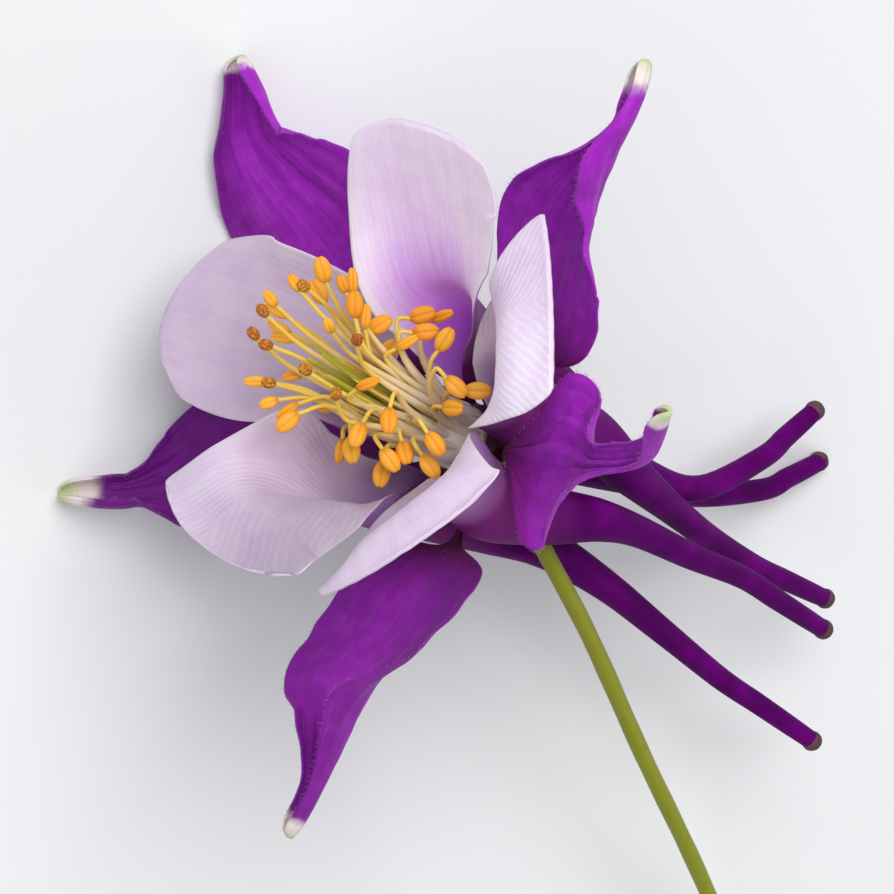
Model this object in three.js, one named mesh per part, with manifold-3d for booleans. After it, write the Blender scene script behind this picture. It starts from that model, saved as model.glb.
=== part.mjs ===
// A columbine bloom on its cut stalk, lying on a flat surface. Millimetres, +Z up.
//
// Every piece is first shaped in the bloom's own frame: the origin is the middle of the receptacle, the axis
// points out of the open face, and azimuths are counted round that axis, seen from the front. settle() then
// turns each piece to the way the bloom lies and trims what touches the surface to a small flat. The part's
// own origin is on the surface, under the middle of the whole piece's box.

import * as THREE from "three";
import { mergeVertices } from "three/addons/utils/BufferGeometryUtils.js";
import Module from "manifold-3d";

const wasm = await Module();
wasm.setup();

// ---- driving dimensions -------------------------------------------------------------------------------

const SHEET = 0.64; // thickness of petals and sepals

const PETAL_ROWS = 2; // mesh rows from one station to the next
const PETAL_COLUMNS = 12;
const SEPAL_ROWS = 3;
const SEPAL_COLUMNS = 8;

const STALK_RADIUS = 0.8;
const RECEPTACLE_RADIUS = 3.7;
const RECEPTACLE_HEIGHT = 4.6;

const STAMEN_COUNT = 48;
const STAMEN_SEED = 11;
const GOLDEN_ANGLE = 137.508; // from one stamen to the next
const STAMEN_HEIGHT = { inner: 20.8, outer: 9 };
const STAMEN_SPREAD = { inner: 3.4, outer: 7 };
const STAMEN_ROOT = 2.65; // the filaments' distance from the axis where they rise from the sleeve
const SLEEVE_BOTTOM = 0.6;
const SLEEVE_INNER = 2.2; // packed filament bases round the pistils
const SLEEVE_OUTER = 3.1;
const SLEEVE_TOP = 6.5;
const FILAMENT_RADIUS = 0.3;
const ANTHER = { length: 2.4, width: 1.6, depth: 1.2 };

const CARPEL_COUNT = 5;
const CARPEL_RADIUS = 0.56;
const STYLE_RADIUS = 0.3;
const PISTIL_BOTTOM = 0.6;
const PISTIL_TOP = 19;
const BUNCH_LEAN = { azimuth: 55, reach: 4.2 }; // how far the bunch leans over at 20 mm up

const HEADING = 159.7; // plan direction of the bloom's axis
const TIP = 70.5; // lean of the axis from upright
const SPIN = -85.2; // turn of the bloom about its axis
const REST_PLACE = [-8.54, 16.01, 24.84]; // the receptacle, from the middle of the bloom's footprint

// ---- small helpers ------------------------------------------------------------------------------------

const radians = THREE.MathUtils.degToRad;
const lerp = THREE.MathUtils.lerp;
const pair = (value) => new THREE.Vector2(...(Array.isArray(value) ? value : [value, value]));

/** Repeatable draws between -1 and 1. */
function seededDraws(seed) {
  let state = seed;
  return () => {
    state = (Math.imul(state, 1664525) + 1013904223) >>> 0;
    return (state / 2 ** 31) - 1;
  };
}

/** Unit vectors out from the axis and round it, at an azimuth in degrees. */
function aroundAxis(azimuth) {
  const angle = radians(azimuth);
  return {
    out: new THREE.Vector3(Math.cos(angle), Math.sin(angle), 0),
    round: new THREE.Vector3(-Math.sin(angle), Math.cos(angle), 0),
  };
}

/** A point given by its distance out from the axis, its height along it and its offset round it. */
function bloomPoint(azimuth, out, up, side = 0) {
  const axes = aroundAxis(azimuth);
  return new THREE.Vector3(0, 0, up).addScaledVector(axes.out, out).addScaledVector(axes.round, side);
}

function geometryOf(points, triangles) {
  const geometry = new THREE.BufferGeometry().setFromPoints(points);
  geometry.setIndex(triangles);
  return geometry;
}

function solidOf(geometry) {
  const bare = geometry.clone();
  bare.deleteAttribute("normal");
  bare.deleteAttribute("uv");
  const merged = mergeVertices(bare, 1e-4);
  const mesh = new wasm.Mesh({
    numProp: 3,
    vertProperties: merged.attributes.position.array,
    triVerts: new Uint32Array(merged.index.array),
  });
  return new wasm.Manifold(mesh);
}

function geometryFrom(solid) {
  const mesh = solid.getMesh();
  const position = new THREE.BufferAttribute(Float32Array.from(mesh.vertProperties), 3);
  return new THREE.BufferGeometry()
    .setAttribute("position", position)
    .setIndex(new THREE.BufferAttribute(Uint32Array.from(mesh.triVerts), 1));
}

const fused = (geometries) => geometryFrom(geometries.map(solidOf).reduce((all, next) => all.add(next)));

// ---- sheets: petals and sepals ------------------------------------------------------------------------

/**
 * The middle surface of a petal or sepal, as rows of points, swept along its mid-line through stations.
 * A station has out, up and side (the mid-line's place), half (width from the mid-line to a margin, measured
 * along the section), curl (how far each half bends towards the cup: 180 closes a tube), fold (how far each
 * half is turned up at the mid-line) and flare (how far a margin turns back out again). A pair gives the
 * margin at the lower azimuth first.
 */
function sweptRows({
  azimuth, stations, rowsPerStation, columns, endWidth = () => 1, endReach = () => 0,
}) {
  const track = (name, fallback) =>
    new THREE.SplineCurve(stations.map((station) => pair(station[name] ?? fallback)));
  const midline = new THREE.CatmullRomCurve3(
    stations.map(({ out, up, side = 0 }) => bloomPoint(azimuth, out, up, side)), false, "catmullrom");
  const tracks = {
    half: track("half"), curl: track("curl", 0), flare: track("flare", 0), fold: track("fold", 0),
  };
  const round = aroundAxis(azimuth).round;
  const rowCount = (stations.length - 1) * rowsPerStation;
  const rows = [];
  for (let i = 0; i <= rowCount; i += 1) {
    const t = i / rowCount;
    const along = midline.getTangent(t);
    const across = round.clone().addScaledVector(along, -round.dot(along)).normalize();
    const inward = along.clone().cross(across);
    const middle = midline.getPoint(t);
    const half = tracks.half.getPoint(t).multiplyScalar(endWidth(t));
    const flare = tracks.flare.getPoint(t).multiplyScalar(endWidth(t));
    const curl = tracks.curl.getPoint(t);
    const fold = tracks.fold.getPoint(t);
    const row = [];
    for (let j = 0; j <= columns; j += 1) {
      const v = (2 * j) / columns - 1;
      const side = v < 0 ? "x" : "y";
      const bend = radians(curl[side]) || 0.001;
      const reach = Math.abs(v);
      const sideways = Math.sign(v) * half[side] * Math.sin(bend * reach) / bend;
      const depth = half[side] * (1 - Math.cos(bend * reach)) / bend
        + half[side] * reach * Math.tan(radians(fold[side]))
        - flare[side] * reach ** 3;
      row.push(middle.clone()
        .addScaledVector(across, sideways)
        .addScaledVector(inward, depth)
        .addScaledVector(along, endReach(t) * (1 - v * v)));
    }
    rows.push(row);
  }
  return rows;
}

/**
 * A closed solid of even thickness round a middle surface. The first weldedRows rows are closed tubes, whose
 * two margins are one; the tube's end is solid up to row hollowFrom.
 */
function sheetSolid(rows, { thickness, weldedRows = 0, hollowFrom = 0 }) {
  const last = rows.length - 1;
  const margin = rows[0].length - 1;
  const points = [];
  const triangles = [];
  const quad = (a, b, c, d) => triangles.push(a, b, c, a, c, d);
  const welded = (i) => i < weldedRows;

  const normalAt = (i, j) => {
    const along = rows[Math.min(i + 1, last)][j].clone().sub(rows[Math.max(i - 1, 0)][j]);
    const before = j === 0 && welded(i) ? margin - 1 : Math.max(j - 1, 0);
    const after = j === margin && welded(i) ? 1 : Math.min(j + 1, margin);
    return along.cross(rows[i][after].clone().sub(rows[i][before])).normalize();
  };
  const skin = (offset, firstRow) => {
    const index = rows.map((row, i) => row.map((point, j) => {
      if (i < firstRow) return -1;
      if (j === margin && welded(i)) return -1;
      points.push(point.clone().addScaledVector(normalAt(i, j), offset));
      return points.length - 1;
    }));
    for (let i = firstRow; i < weldedRows; i += 1) index[i][margin] = index[i][0];
    return index;
  };
  const inner = skin(thickness / 2, hollowFrom);
  const outer = skin(-thickness / 2, 0);
  const cover = (index, firstRow, place) => {
    for (let i = firstRow; i < last; i += 1)
      for (let j = 0; j < margin; j += 1)
        place(index[i][j], index[i + 1][j], index[i + 1][j + 1], index[i][j + 1]);
  };
  cover(inner, hollowFrom, (a, b, c, d) => quad(a, b, c, d));
  cover(outer, 0, (a, b, c, d) => triangles.push(a, c, b, a, d, c));

  for (let j = 0; j < margin; j += 1)
    quad(inner[last][j + 1], inner[last][j], outer[last][j], outer[last][j + 1]);
  for (let i = Math.max(weldedRows - 1, 0); i < last; i += 1) {
    quad(inner[i + 1][0], inner[i][0], outer[i][0], outer[i + 1][0]);
    quad(inner[i][margin], inner[i + 1][margin], outer[i + 1][margin], outer[i][margin]);
  }
  if (weldedRows) {
    const pole = (index, row, turned) => {
      const centre = new THREE.Vector3();
      for (let j = 0; j < margin; j += 1) centre.addScaledVector(rows[row][j], 1 / margin);
      points.push(centre);
      for (let j = 0; j < margin; j += 1) {
        const edge = [index[row][j], index[row][j + 1]];
        triangles.push(points.length - 1, ...(turned ? edge.reverse() : edge));
      }
    };
    pole(inner, hollowFrom, false);
    pole(outer, 0, true);
  } else {
    for (let j = 0; j < margin; j += 1)
      quad(inner[0][j], inner[0][j + 1], outer[0][j + 1], outer[0][j]);
  }
  return geometryOf(points, triangles);
}

/** A solid rod along a curve, its radius given along the way, closed by a point at each end. */
function rod(curve, radiusAt, segments, sides) {
  const frames = curve.computeFrenetFrames(segments, false);
  const points = [curve.getPointAt(0)];
  const triangles = [];
  for (let i = 0; i <= segments; i += 1) {
    const middle = curve.getPointAt(i / segments);
    for (let k = 0; k < sides; k += 1) {
      const angle = (2 * Math.PI * k) / sides;
      points.push(middle.clone()
        .addScaledVector(frames.normals[i], radiusAt(i / segments) * Math.cos(angle))
        .addScaledVector(frames.binormals[i], radiusAt(i / segments) * Math.sin(angle)));
    }
  }
  points.push(curve.getPointAt(1));
  const at = (i, k) => 1 + i * sides + (k % sides);
  for (let k = 0; k < sides; k += 1) {
    triangles.push(0, at(0, k + 1), at(0, k));
    triangles.push(points.length - 1, at(segments, k), at(segments, k + 1));
    for (let i = 0; i < segments; i += 1) {
      triangles.push(at(i, k), at(i, k + 1), at(i + 1, k + 1));
      triangles.push(at(i, k), at(i + 1, k + 1), at(i + 1, k));
    }
  }
  return geometryOf(points, triangles);
}

// ---- petals -------------------------------------------------------------------------------------------

// A spur is a list of centre points [out, up, side] from its root to its end. The blade goes on from the
// throat through its own stations.
const PETALS = [
  {
    azimuth: 10,
    spur: [
      [7, -8, 0], [3.9, -16.2, 0.1], [2.6, -23.4, 0],
      [3.3, -30.3, -0.2], [8, -37, -0.8], [14.7, -43, -1.2],
    ],
    blade: [
      { out: 11.8, up: 4.9, side: -0.5, half: [7.6, 7.2], curl: [113, 110] },
      { out: 13.1, up: 7.9, side: -0.1, half: [6.9, 7.8], curl: [29, 64], fold: [-3, 0] },
      { out: 18, up: 10.7, side: 0.4, half: [9.4, 8.2], curl: [18, 26] },
      { out: 22.7, up: 15, side: -0.5, half: [10.6, 7.3], curl: [17, 8], fold: [0, -2] },
    ],
    tip: 0.82,
    crown: 1.6,
  },
  {
    azimuth: 84,
    spur: [
      [7.1, -8, 0], [5.4, -18, -0.8], [5.3, -27, -1.4],
      [6.1, -36, -2.1], [6.6, -44.5, -4.7], [7.6, -52, -9.7],
    ],
    blade: [
      { out: 11.2, up: 5, half: 7.2, curl: [108, 112] },
      { out: 12.7, up: 8.4, side: -0.8, half: [9, 6.6], curl: [43, 63] },
      { out: 16.9, up: 12.4, side: 0.7, half: [10.4, 6.6], curl: 28 },
      { out: 20.6, up: 16.1, side: 1.4, half: [9.2, 6.4], curl: [3, 15] },
    ],
    tip: 0.86,
    crown: 3.1,
  },
  {
    azimuth: 154,
    spur: [
      [6.9, -8, 0.6], [6.4, -14, 2], [7.2, -22, 3.6],
      [9.1, -31, 5.1], [10.9, -39.5, 6.8], [12.4, -53, 10.8],
    ],
    blade: [
      { out: 10.8, up: 5, half: [6.4, 6.5], curl: [117, 122] },
      { out: 10.8, up: 8.1, half: [6.9, 6.8], curl: 72, fold: [4, 14], flare: [0, -0.6] },
      { out: 11.1, up: 12.5, side: -0.2, half: [7.2, 8.9], curl: [55, 13], fold: [8, 34], flare: [-1, 2] },
      { out: 11.9, up: 17, side: 0.3, half: [6.2, 10], curl: [22, 14], fold: [-2, 6], flare: [0.1, 1.5] },
      { out: 14.9, up: 18.8, side: 1.3, half: [9.7, 12.7], curl: [-12, 24], fold: [0, -9], flare: [0, -0.8] },
    ],
    tip: 0.8,
    crown: 2.3,
  },
  {
    azimuth: 232,
    spur: [
      [7, -6.5, 0.6], [7, -11.5, 2], [6.9, -16.5, 2.3],
      [6.8, -25, 1.6], [6.4, -33, 1], [6.8, -48.5, -1.5],
    ],
    blade: [
      { out: 10.3, up: 4.4, side: 0.7, half: [7.1, 7], curl: [119, 112], fold: [4, -2], flare: [-0.5, 0.2] },
      { out: 10.6, up: 9.8, side: 0.9, half: [6.2, 7], curl: [47, 42], flare: 0.2 },
      { out: 13.7, up: 15.2, side: 0.7, half: [9.3, 10.3], curl: [6, 8], fold: [3, -3], flare: [2, 2.3] },
      { out: 16.3, up: 15.8, side: 0.4, half: [10.5, 12.6], curl: [-5, 4], fold: [2, -11], flare: [0, -0.7] },
    ],
    tip: 0.84,
    crown: 1.3,
  },
  {
    azimuth: 303,
    spur: [
      [6.9, -8, 0.2], [5, -15.7, -0.7], [2.8, -23.6, -1.1],
      [0.7, -31.7, -1.4], [-0.7, -40, -1.7], [-1.4, -52.5, -2.1],
    ],
    blade: [
      { out: 11.2, up: 4.9, side: 0.4, half: 6.8, curl: [113, 120] },
      { out: 12.8, up: 9, side: 0.7, half: [7.2, 6.9], curl: [52, 27], fold: [1, -6], flare: [0, 0.9] },
      { out: 17.4, up: 14.3, side: 0.7, half: [8.6, 3.9], curl: [7, 18], fold: 4, flare: [1.5, 0] },
      { out: 22.4, up: 15, side: 0.6, half: 8.7, curl: -10, fold: [2, -2], flare: [0.2, 0] },
    ],
    tip: 0.89,
    crown: 1.2,
  },
];

const SPUR_RADII = [2.45, 1.8, 1.3, 1.05, 0.9]; // at the centre points, without the last
const SPUR_NECK = { radius: 0.85, back: 3 }; // back from the spur's end
const SPUR_KNOB = { radius: 1.1, back: 1.2 };
const SPUR_END_RADIUS = 0.5;
const SPUR_SOLID_SPANS = 4; // the spur is hollow from here up
const THROAT = { out: 10.4, up: 0, half: Math.PI * 3, curl: 176 };
const END_SPANS = { narrowing: 1.2, crown: 1.4 }; // how many of the last spans each takes

/** Stations from the spur's end up to the throat: a tube, whose outer wall is the mid-line. */
function spurStations(centres) {
  const points = centres.map((centre) => new THREE.Vector3(...centre));
  const end = points.pop();
  const backwards = points.at(-1).clone().sub(end).normalize();
  const tips = [SPUR_KNOB, SPUR_NECK].map(({ back }) => end.clone().addScaledVector(backwards, back));
  const chain = [end, ...tips, ...points.reverse(), new THREE.Vector3(7.4, 0, 0)];
  const radii = [SPUR_END_RADIUS, SPUR_KNOB.radius, SPUR_NECK.radius, ...SPUR_RADII.toReversed()];
  return radii.map((radius, k) => {
    const along = chain[k + 1].clone().sub(chain[Math.max(k - 1, 0)]).normalize();
    return {
      out: chain[k].x + radius * along.y,
      up: chain[k].y - radius * along.x,
      side: chain[k].z,
      half: Math.PI * radius,
      curl: 180,
    };
  });
}

/** tip is the share of the width left at the end, and crown how far its middle reaches past the corners. */
function petalGeometry({ azimuth, spur, blade, tip, crown }) {
  const tube = spurStations(spur);
  const stations = [...tube, THROAT, ...blade];
  const spans = stations.length - 1;
  const rounding = (t) => THREE.MathUtils.clamp((t - 1) * spans / END_SPANS.narrowing + 1, 0, 1);
  const rows = sweptRows({
    azimuth,
    stations,
    rowsPerStation: PETAL_ROWS,
    columns: PETAL_COLUMNS,
    endWidth: (t) => lerp(tip, 1, (1 - rounding(t) ** 3) ** 0.5),
    endReach: (t) => crown * THREE.MathUtils.smoothstep(t * spans, spans - END_SPANS.crown, spans),
  });
  return sheetSolid(rows, {
    thickness: SHEET,
    weldedRows: (tube.length - 1) * PETAL_ROWS + 1,
    hollowFrom: SPUR_SOLID_SPANS * PETAL_ROWS,
  });
}

// ---- sepals -------------------------------------------------------------------------------------------

const CLAW = [
  { out: 4.1, up: -1.7, half: 0.75 },
  { out: 8.9, up: -0.9, half: 0.75 },
];

const SEPALS = [
  {
    azimuth: -23.5,
    blade: [
      { out: 12.5, up: 0.7, side: 0.4, half: [7.1, 4.7], curl: [4, 11], fold: [2, 6], flare: [0.4, 0] },
      { out: 18.3, up: 2.4, side: 2, half: [8.5, 7.7], curl: 7, fold: 9, flare: [0.2, 0.1] },
      { out: 24, up: 4, side: 2.1, half: 4.8, curl: [34, 61], fold: 10, flare: [-0.6, 0] },
      { out: 29.9, up: 6.6, side: 0.7, half: [4.7, 1.2], curl: [100, 113], fold: [-4, 0], flare: [-1.8, 0] },
      { out: 33.3, up: 7.8, side: -0.2, half: [3.2, 1.8], curl: [127, 133], flare: [0, 0.2] },
      { out: 36.8, up: 7.6, side: 2, half: [3.2, 1.7], curl: [137, 139] },
    ],
  },
  {
    azimuth: 47,
    blade: [
      { out: 14.3, up: 0.6, side: 3, half: 6, curl: 10, fold: 10 },
      { out: 23.7, up: 4.6, side: 3.5, half: [7.7, 8.7], curl: 8, fold: 16 },
      { out: 29.9, up: 7.9, side: 4.8, half: [6.5, 7.4], curl: [31, 19], fold: 12 },
      { out: 33.6, up: 11.2, side: 4.9, half: [5.3, 4.9], curl: [72, 90], fold: [2, 6] },
      { out: 36.1, up: 14, side: 2.4, half: [4.6, 2.9], curl: [111, 117], fold: [-3, 0] },
      { out: 38.5, up: 15.3, side: 1.1, half: [3.3, 2.3], curl: 138 },
    ],
  },
  {
    azimuth: 119,
    blade: [
      { out: 14, up: 0.6, side: -2.2, half: 6, curl: 12, fold: 6 },
      { out: 22.2, up: 5.3, side: -3.6, half: [6, 7], curl: 12, fold: 8 },
      { out: 28.4, up: 7.4, side: -1.7, half: [4.6, 6.5], curl: [51, 42] },
      { out: 31.6, up: 10.2, side: -0.7, half: [2.4, 3.1], curl: 102 },
      { out: 33, up: 12, side: -0.3, half: [2.8, 3.3], curl: 124 },
      { out: 37, up: 14.7, side: -0.8, half: [2.2, 2.7], curl: 139 },
    ],
  },
  {
    azimuth: 193,
    blade: [
      { out: 11.6, up: 1.3, side: -0.4, half: [4.9, 7.2], curl: [18, 5], fold: [7, 2], flare: [-0.4, 0.2] },
      { out: 18.8, up: 3.6, side: -1, half: 7.6, curl: 15, fold: [8, 10] },
      { out: 22.9, up: 6, side: -1.4, half: [7.1, 6.3], curl: [29, 34], fold: [5, 9], flare: [0.3, 0] },
      { out: 26.9, up: 7.1, side: -1, half: [4.7, 6.8], curl: [84, 98], fold: [1, 2], flare: [0, -1.2] },
      { out: 32.6, up: 8.9, side: -0.5, half: [2, 3.2], curl: 122 },
      { out: 37, up: 9.3, side: -2.4, half: [1.8, 2.8], curl: 140 },
    ],
  },
  {
    azimuth: 267.5,
    blade: [
      { out: 8.5, up: 3, side: 0.6, half: 0.9 },
      { out: 11.4, up: 3.4, side: 1.3, half: [7.2, 3.3], curl: [3, 9], fold: [-3, 8], flare: [0.4, 0] },
      { out: 14.6, up: 3.9, side: 2, half: [7.6, 6.9], curl: [3, 7], fold: [-3, 8], flare: [0.2, 0] },
      { out: 17.8, up: 4.3, side: 2.3, half: [4.2, 5.4], curl: [12, -3], fold: 3, flare: [0.2, 0.5] },
      { out: 21.9, up: 6, side: 2.6, half: [1.9, 2.1], curl: 63, fold: 6 },
      { out: 29.4, up: 8.4, side: 5.1, half: [1.5, 1.7], curl: [90, 95] },
      { out: 35.5, up: 14.5, side: 8.9, half: [2.4, 2], curl: [130, 136] },
    ],
    claw: [
      { out: 4.4, up: -1.8, half: 0.75 },
      { out: 6.3, up: 1.4, side: 0.3, half: 0.5 },
    ],
  },
];

function sepalGeometry({ azimuth, blade, claw = CLAW }) {
  const rows = sweptRows({
    azimuth,
    stations: [...claw, ...blade],
    rowsPerStation: SEPAL_ROWS,
    columns: SEPAL_COLUMNS,
  });
  return sheetSolid(rows, { thickness: SHEET });
}

// ---- stem, stamens, pistils ---------------------------------------------------------------------------

const STALK_POINTS = [
  [0, 0, 0], [-1.6, -0.4, -4.8], [-6.7, -2.3, -10.9], [-12.9, -3, -19.7],
  [-21.8, -2, -32.7], [-31.8, 0, -48.7], [-46.4, 4.4, -72],
];

/** A point of the bunch, which leans over more and more towards its top. */
function bunchPoint(azimuth, out, up) {
  const lean = BUNCH_LEAN.reach * (up / 20) ** 2;
  return bloomPoint(azimuth, out, up).add(bloomPoint(BUNCH_LEAN.azimuth, lean, 0));
}

function stemGeometry() {
  const path = new THREE.CatmullRomCurve3(STALK_POINTS.map((p) => new THREE.Vector3(...p)));
  const stalk = rod(path, () => STALK_RADIUS, 24, 10);
  const h = RECEPTACLE_HEIGHT;
  const r = RECEPTACLE_RADIUS;
  const profile = [[0, -h], [0.4 * r, -0.85 * h], [r, -0.45 * h], [r, 0], [0.92 * r, 0.25], [0, 0.25]];
  const dome = new THREE.LatheGeometry(profile.map((p) => new THREE.Vector2(...p)), 16).rotateX(Math.PI / 2);
  return fused([stalk, dome]);
}

function stamenGeometry() {
  const draw = seededDraws(STAMEN_SEED);
  const wall = [
    [SLEEVE_INNER, SLEEVE_BOTTOM], [SLEEVE_OUTER, SLEEVE_BOTTOM], [SLEEVE_OUTER, SLEEVE_TOP],
    [SLEEVE_INNER, SLEEVE_TOP], [SLEEVE_INNER, SLEEVE_BOTTOM],
  ];
  const sleeve = new THREE.LatheGeometry(wall.map((p) => new THREE.Vector2(...p)), 14).rotateX(Math.PI / 2);
  const pieces = [sleeve];
  for (let n = 0; n < STAMEN_COUNT; n += 1) {
    const outer = n / (STAMEN_COUNT - 1);
    const azimuth = n * GOLDEN_ANGLE + 8 * draw();
    const height = lerp(STAMEN_HEIGHT.inner, STAMEN_HEIGHT.outer, outer ** 1.2) + draw();
    const spread = lerp(STAMEN_SPREAD.inner, STAMEN_SPREAD.outer, outer ** 0.8) + 1.2 * draw();
    const path = new THREE.CatmullRomCurve3([
      bunchPoint(azimuth, STAMEN_ROOT, 2),
      bunchPoint(azimuth, STAMEN_ROOT, 0.45 * height),
      bunchPoint(azimuth, lerp(STAMEN_ROOT, spread, 0.5), 0.8 * height),
      bunchPoint(azimuth, spread, height),
    ]);
    const anther = new THREE.SphereGeometry(0.5, 6, 4).scale(ANTHER.width, ANTHER.length, ANTHER.depth);
    const tilt = new THREE.Quaternion().setFromUnitVectors(new THREE.Vector3(0, 1, 0), path.getTangent(1));
    anther.applyQuaternion(tilt).translate(...path.getPoint(1));
    pieces.push(rod(path, () => FILAMENT_RADIUS, 5, 3), anther);
  }
  return fused(pieces);
}

function pistilGeometry() {
  const radiusAt = (t) => lerp(CARPEL_RADIUS, STYLE_RADIUS, THREE.MathUtils.smoothstep(t, 0.4, 1));
  const pieces = [];
  for (let n = 0; n < CARPEL_COUNT; n += 1) {
    const azimuth = (360 / CARPEL_COUNT) * n;
    const path = new THREE.CatmullRomCurve3([
      bunchPoint(azimuth, 0.8, PISTIL_BOTTOM),
      bunchPoint(azimuth, 0.85, 0.3 * PISTIL_TOP),
      bunchPoint(azimuth, 0.7, 0.6 * PISTIL_TOP),
      bunchPoint(azimuth, 1.1, PISTIL_TOP),
    ]);
    pieces.push(rod(path, radiusAt, 8, 6));
  }
  return fused(pieces);
}

// ---- the whole bloom ----------------------------------------------------------------------------------

const lie = new THREE.Object3D();
lie.rotateZ(radians(HEADING)).rotateY(radians(TIP)).rotateZ(radians(SPIN));
lie.position.set(...REST_PLACE);
lie.updateMatrix();

/** Turns a piece to the way the bloom lies and trims it flat where it meets the surface. */
function settle(geometry) {
  const placed = geometry.clone().applyMatrix4(lie.matrix);
  placed.computeBoundingBox();
  if (placed.boundingBox.min.z >= 0) return placed;
  const room = new THREE.BoxGeometry(400, 400, 200).translate(0, 0, 100);
  return geometryFrom(solidOf(placed).intersect(solidOf(room)));
}

function mesh(name, geometry, color, roughness) {
  const finish = new THREE.MeshStandardMaterial({ color, roughness, metalness: 0 });
  const piece = new THREE.Mesh(settle(geometry), finish);
  piece.name = name;
  return piece;
}

const group = new THREE.Group();
group.add(mesh("stem", stemGeometry(), 0x8a8a24, 0.6));
SEPALS.forEach((sepal, k) => group.add(mesh(`sepal_${k + 1}`, sepalGeometry(sepal), 0x7d2a9e, 0.75)));
PETALS.forEach((petal, k) => group.add(mesh(`petal_${k + 1}`, petalGeometry(petal), 0xd9cbe6, 0.7)));
group.add(mesh("stamens", stamenGeometry(), 0xe8a832, 0.6));
group.add(mesh("pistils", pistilGeometry(), 0x97a32c, 0.6));

export default group;
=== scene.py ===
"""A cut columbine bloom lying on a pale surface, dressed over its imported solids.

Lengths in the shape classes are millimetres in the bloom's own frame: the origin is the middle of the
receptacle, the axis points out of the open face, and azimuths are counted round that axis, seen from the
front. The class Lie turns that frame to the way the bloom rests and gives metres.
"""

import logging
import math
import random
from collections.abc import Callable, Sequence
from dataclasses import dataclass, field
from enum import Enum

import bmesh
import bpy
from mathutils import Matrix, Vector, noise


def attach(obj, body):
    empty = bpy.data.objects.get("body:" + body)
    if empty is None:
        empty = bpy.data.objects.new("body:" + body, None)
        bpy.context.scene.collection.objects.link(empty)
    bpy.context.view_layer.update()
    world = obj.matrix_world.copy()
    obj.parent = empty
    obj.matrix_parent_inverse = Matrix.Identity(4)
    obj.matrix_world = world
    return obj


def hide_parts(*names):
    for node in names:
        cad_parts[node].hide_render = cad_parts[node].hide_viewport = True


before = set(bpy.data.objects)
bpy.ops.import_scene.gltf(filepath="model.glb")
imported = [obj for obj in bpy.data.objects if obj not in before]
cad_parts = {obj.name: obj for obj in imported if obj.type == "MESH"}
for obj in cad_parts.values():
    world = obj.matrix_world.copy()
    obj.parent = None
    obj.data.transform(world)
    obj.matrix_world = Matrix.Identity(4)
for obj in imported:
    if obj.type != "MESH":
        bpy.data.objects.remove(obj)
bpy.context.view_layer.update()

log = logging.getLogger("columbine")

MM = 0.001
Pair = tuple[float, float]
Point = tuple[float, float, float]
Colour = tuple[float, float, float]


# ---- the bloom's frame and the view -------------------------------------------------------------------


@dataclass(frozen=True)
class Lie:
    """How the bloom rests: its axis turned to a heading, tipped over and spun about itself."""

    heading: float = 159.7
    tip: float = 70.5
    spin: float = -85.2
    place: Point = (-8.54, 16.01, 24.84)

    def turn(self) -> Matrix:
        """Works out how the bloom is turned.

        Returns:
            The rotation from the bloom's frame to the part's.
        """
        heading = Matrix.Rotation(math.radians(self.heading), 4, "Z")
        tip = Matrix.Rotation(math.radians(self.tip), 4, "Y")
        spin = Matrix.Rotation(math.radians(self.spin), 4, "Z")
        return heading @ tip @ spin

    def matrix(self) -> Matrix:
        """Returns the whole placing, from millimetres in the bloom's frame to metres in the part's."""
        return Matrix.Scale(MM, 4) @ Matrix.Translation(self.place) @ self.turn()


LIE = Lie()
PLACE = LIE.matrix()


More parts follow.
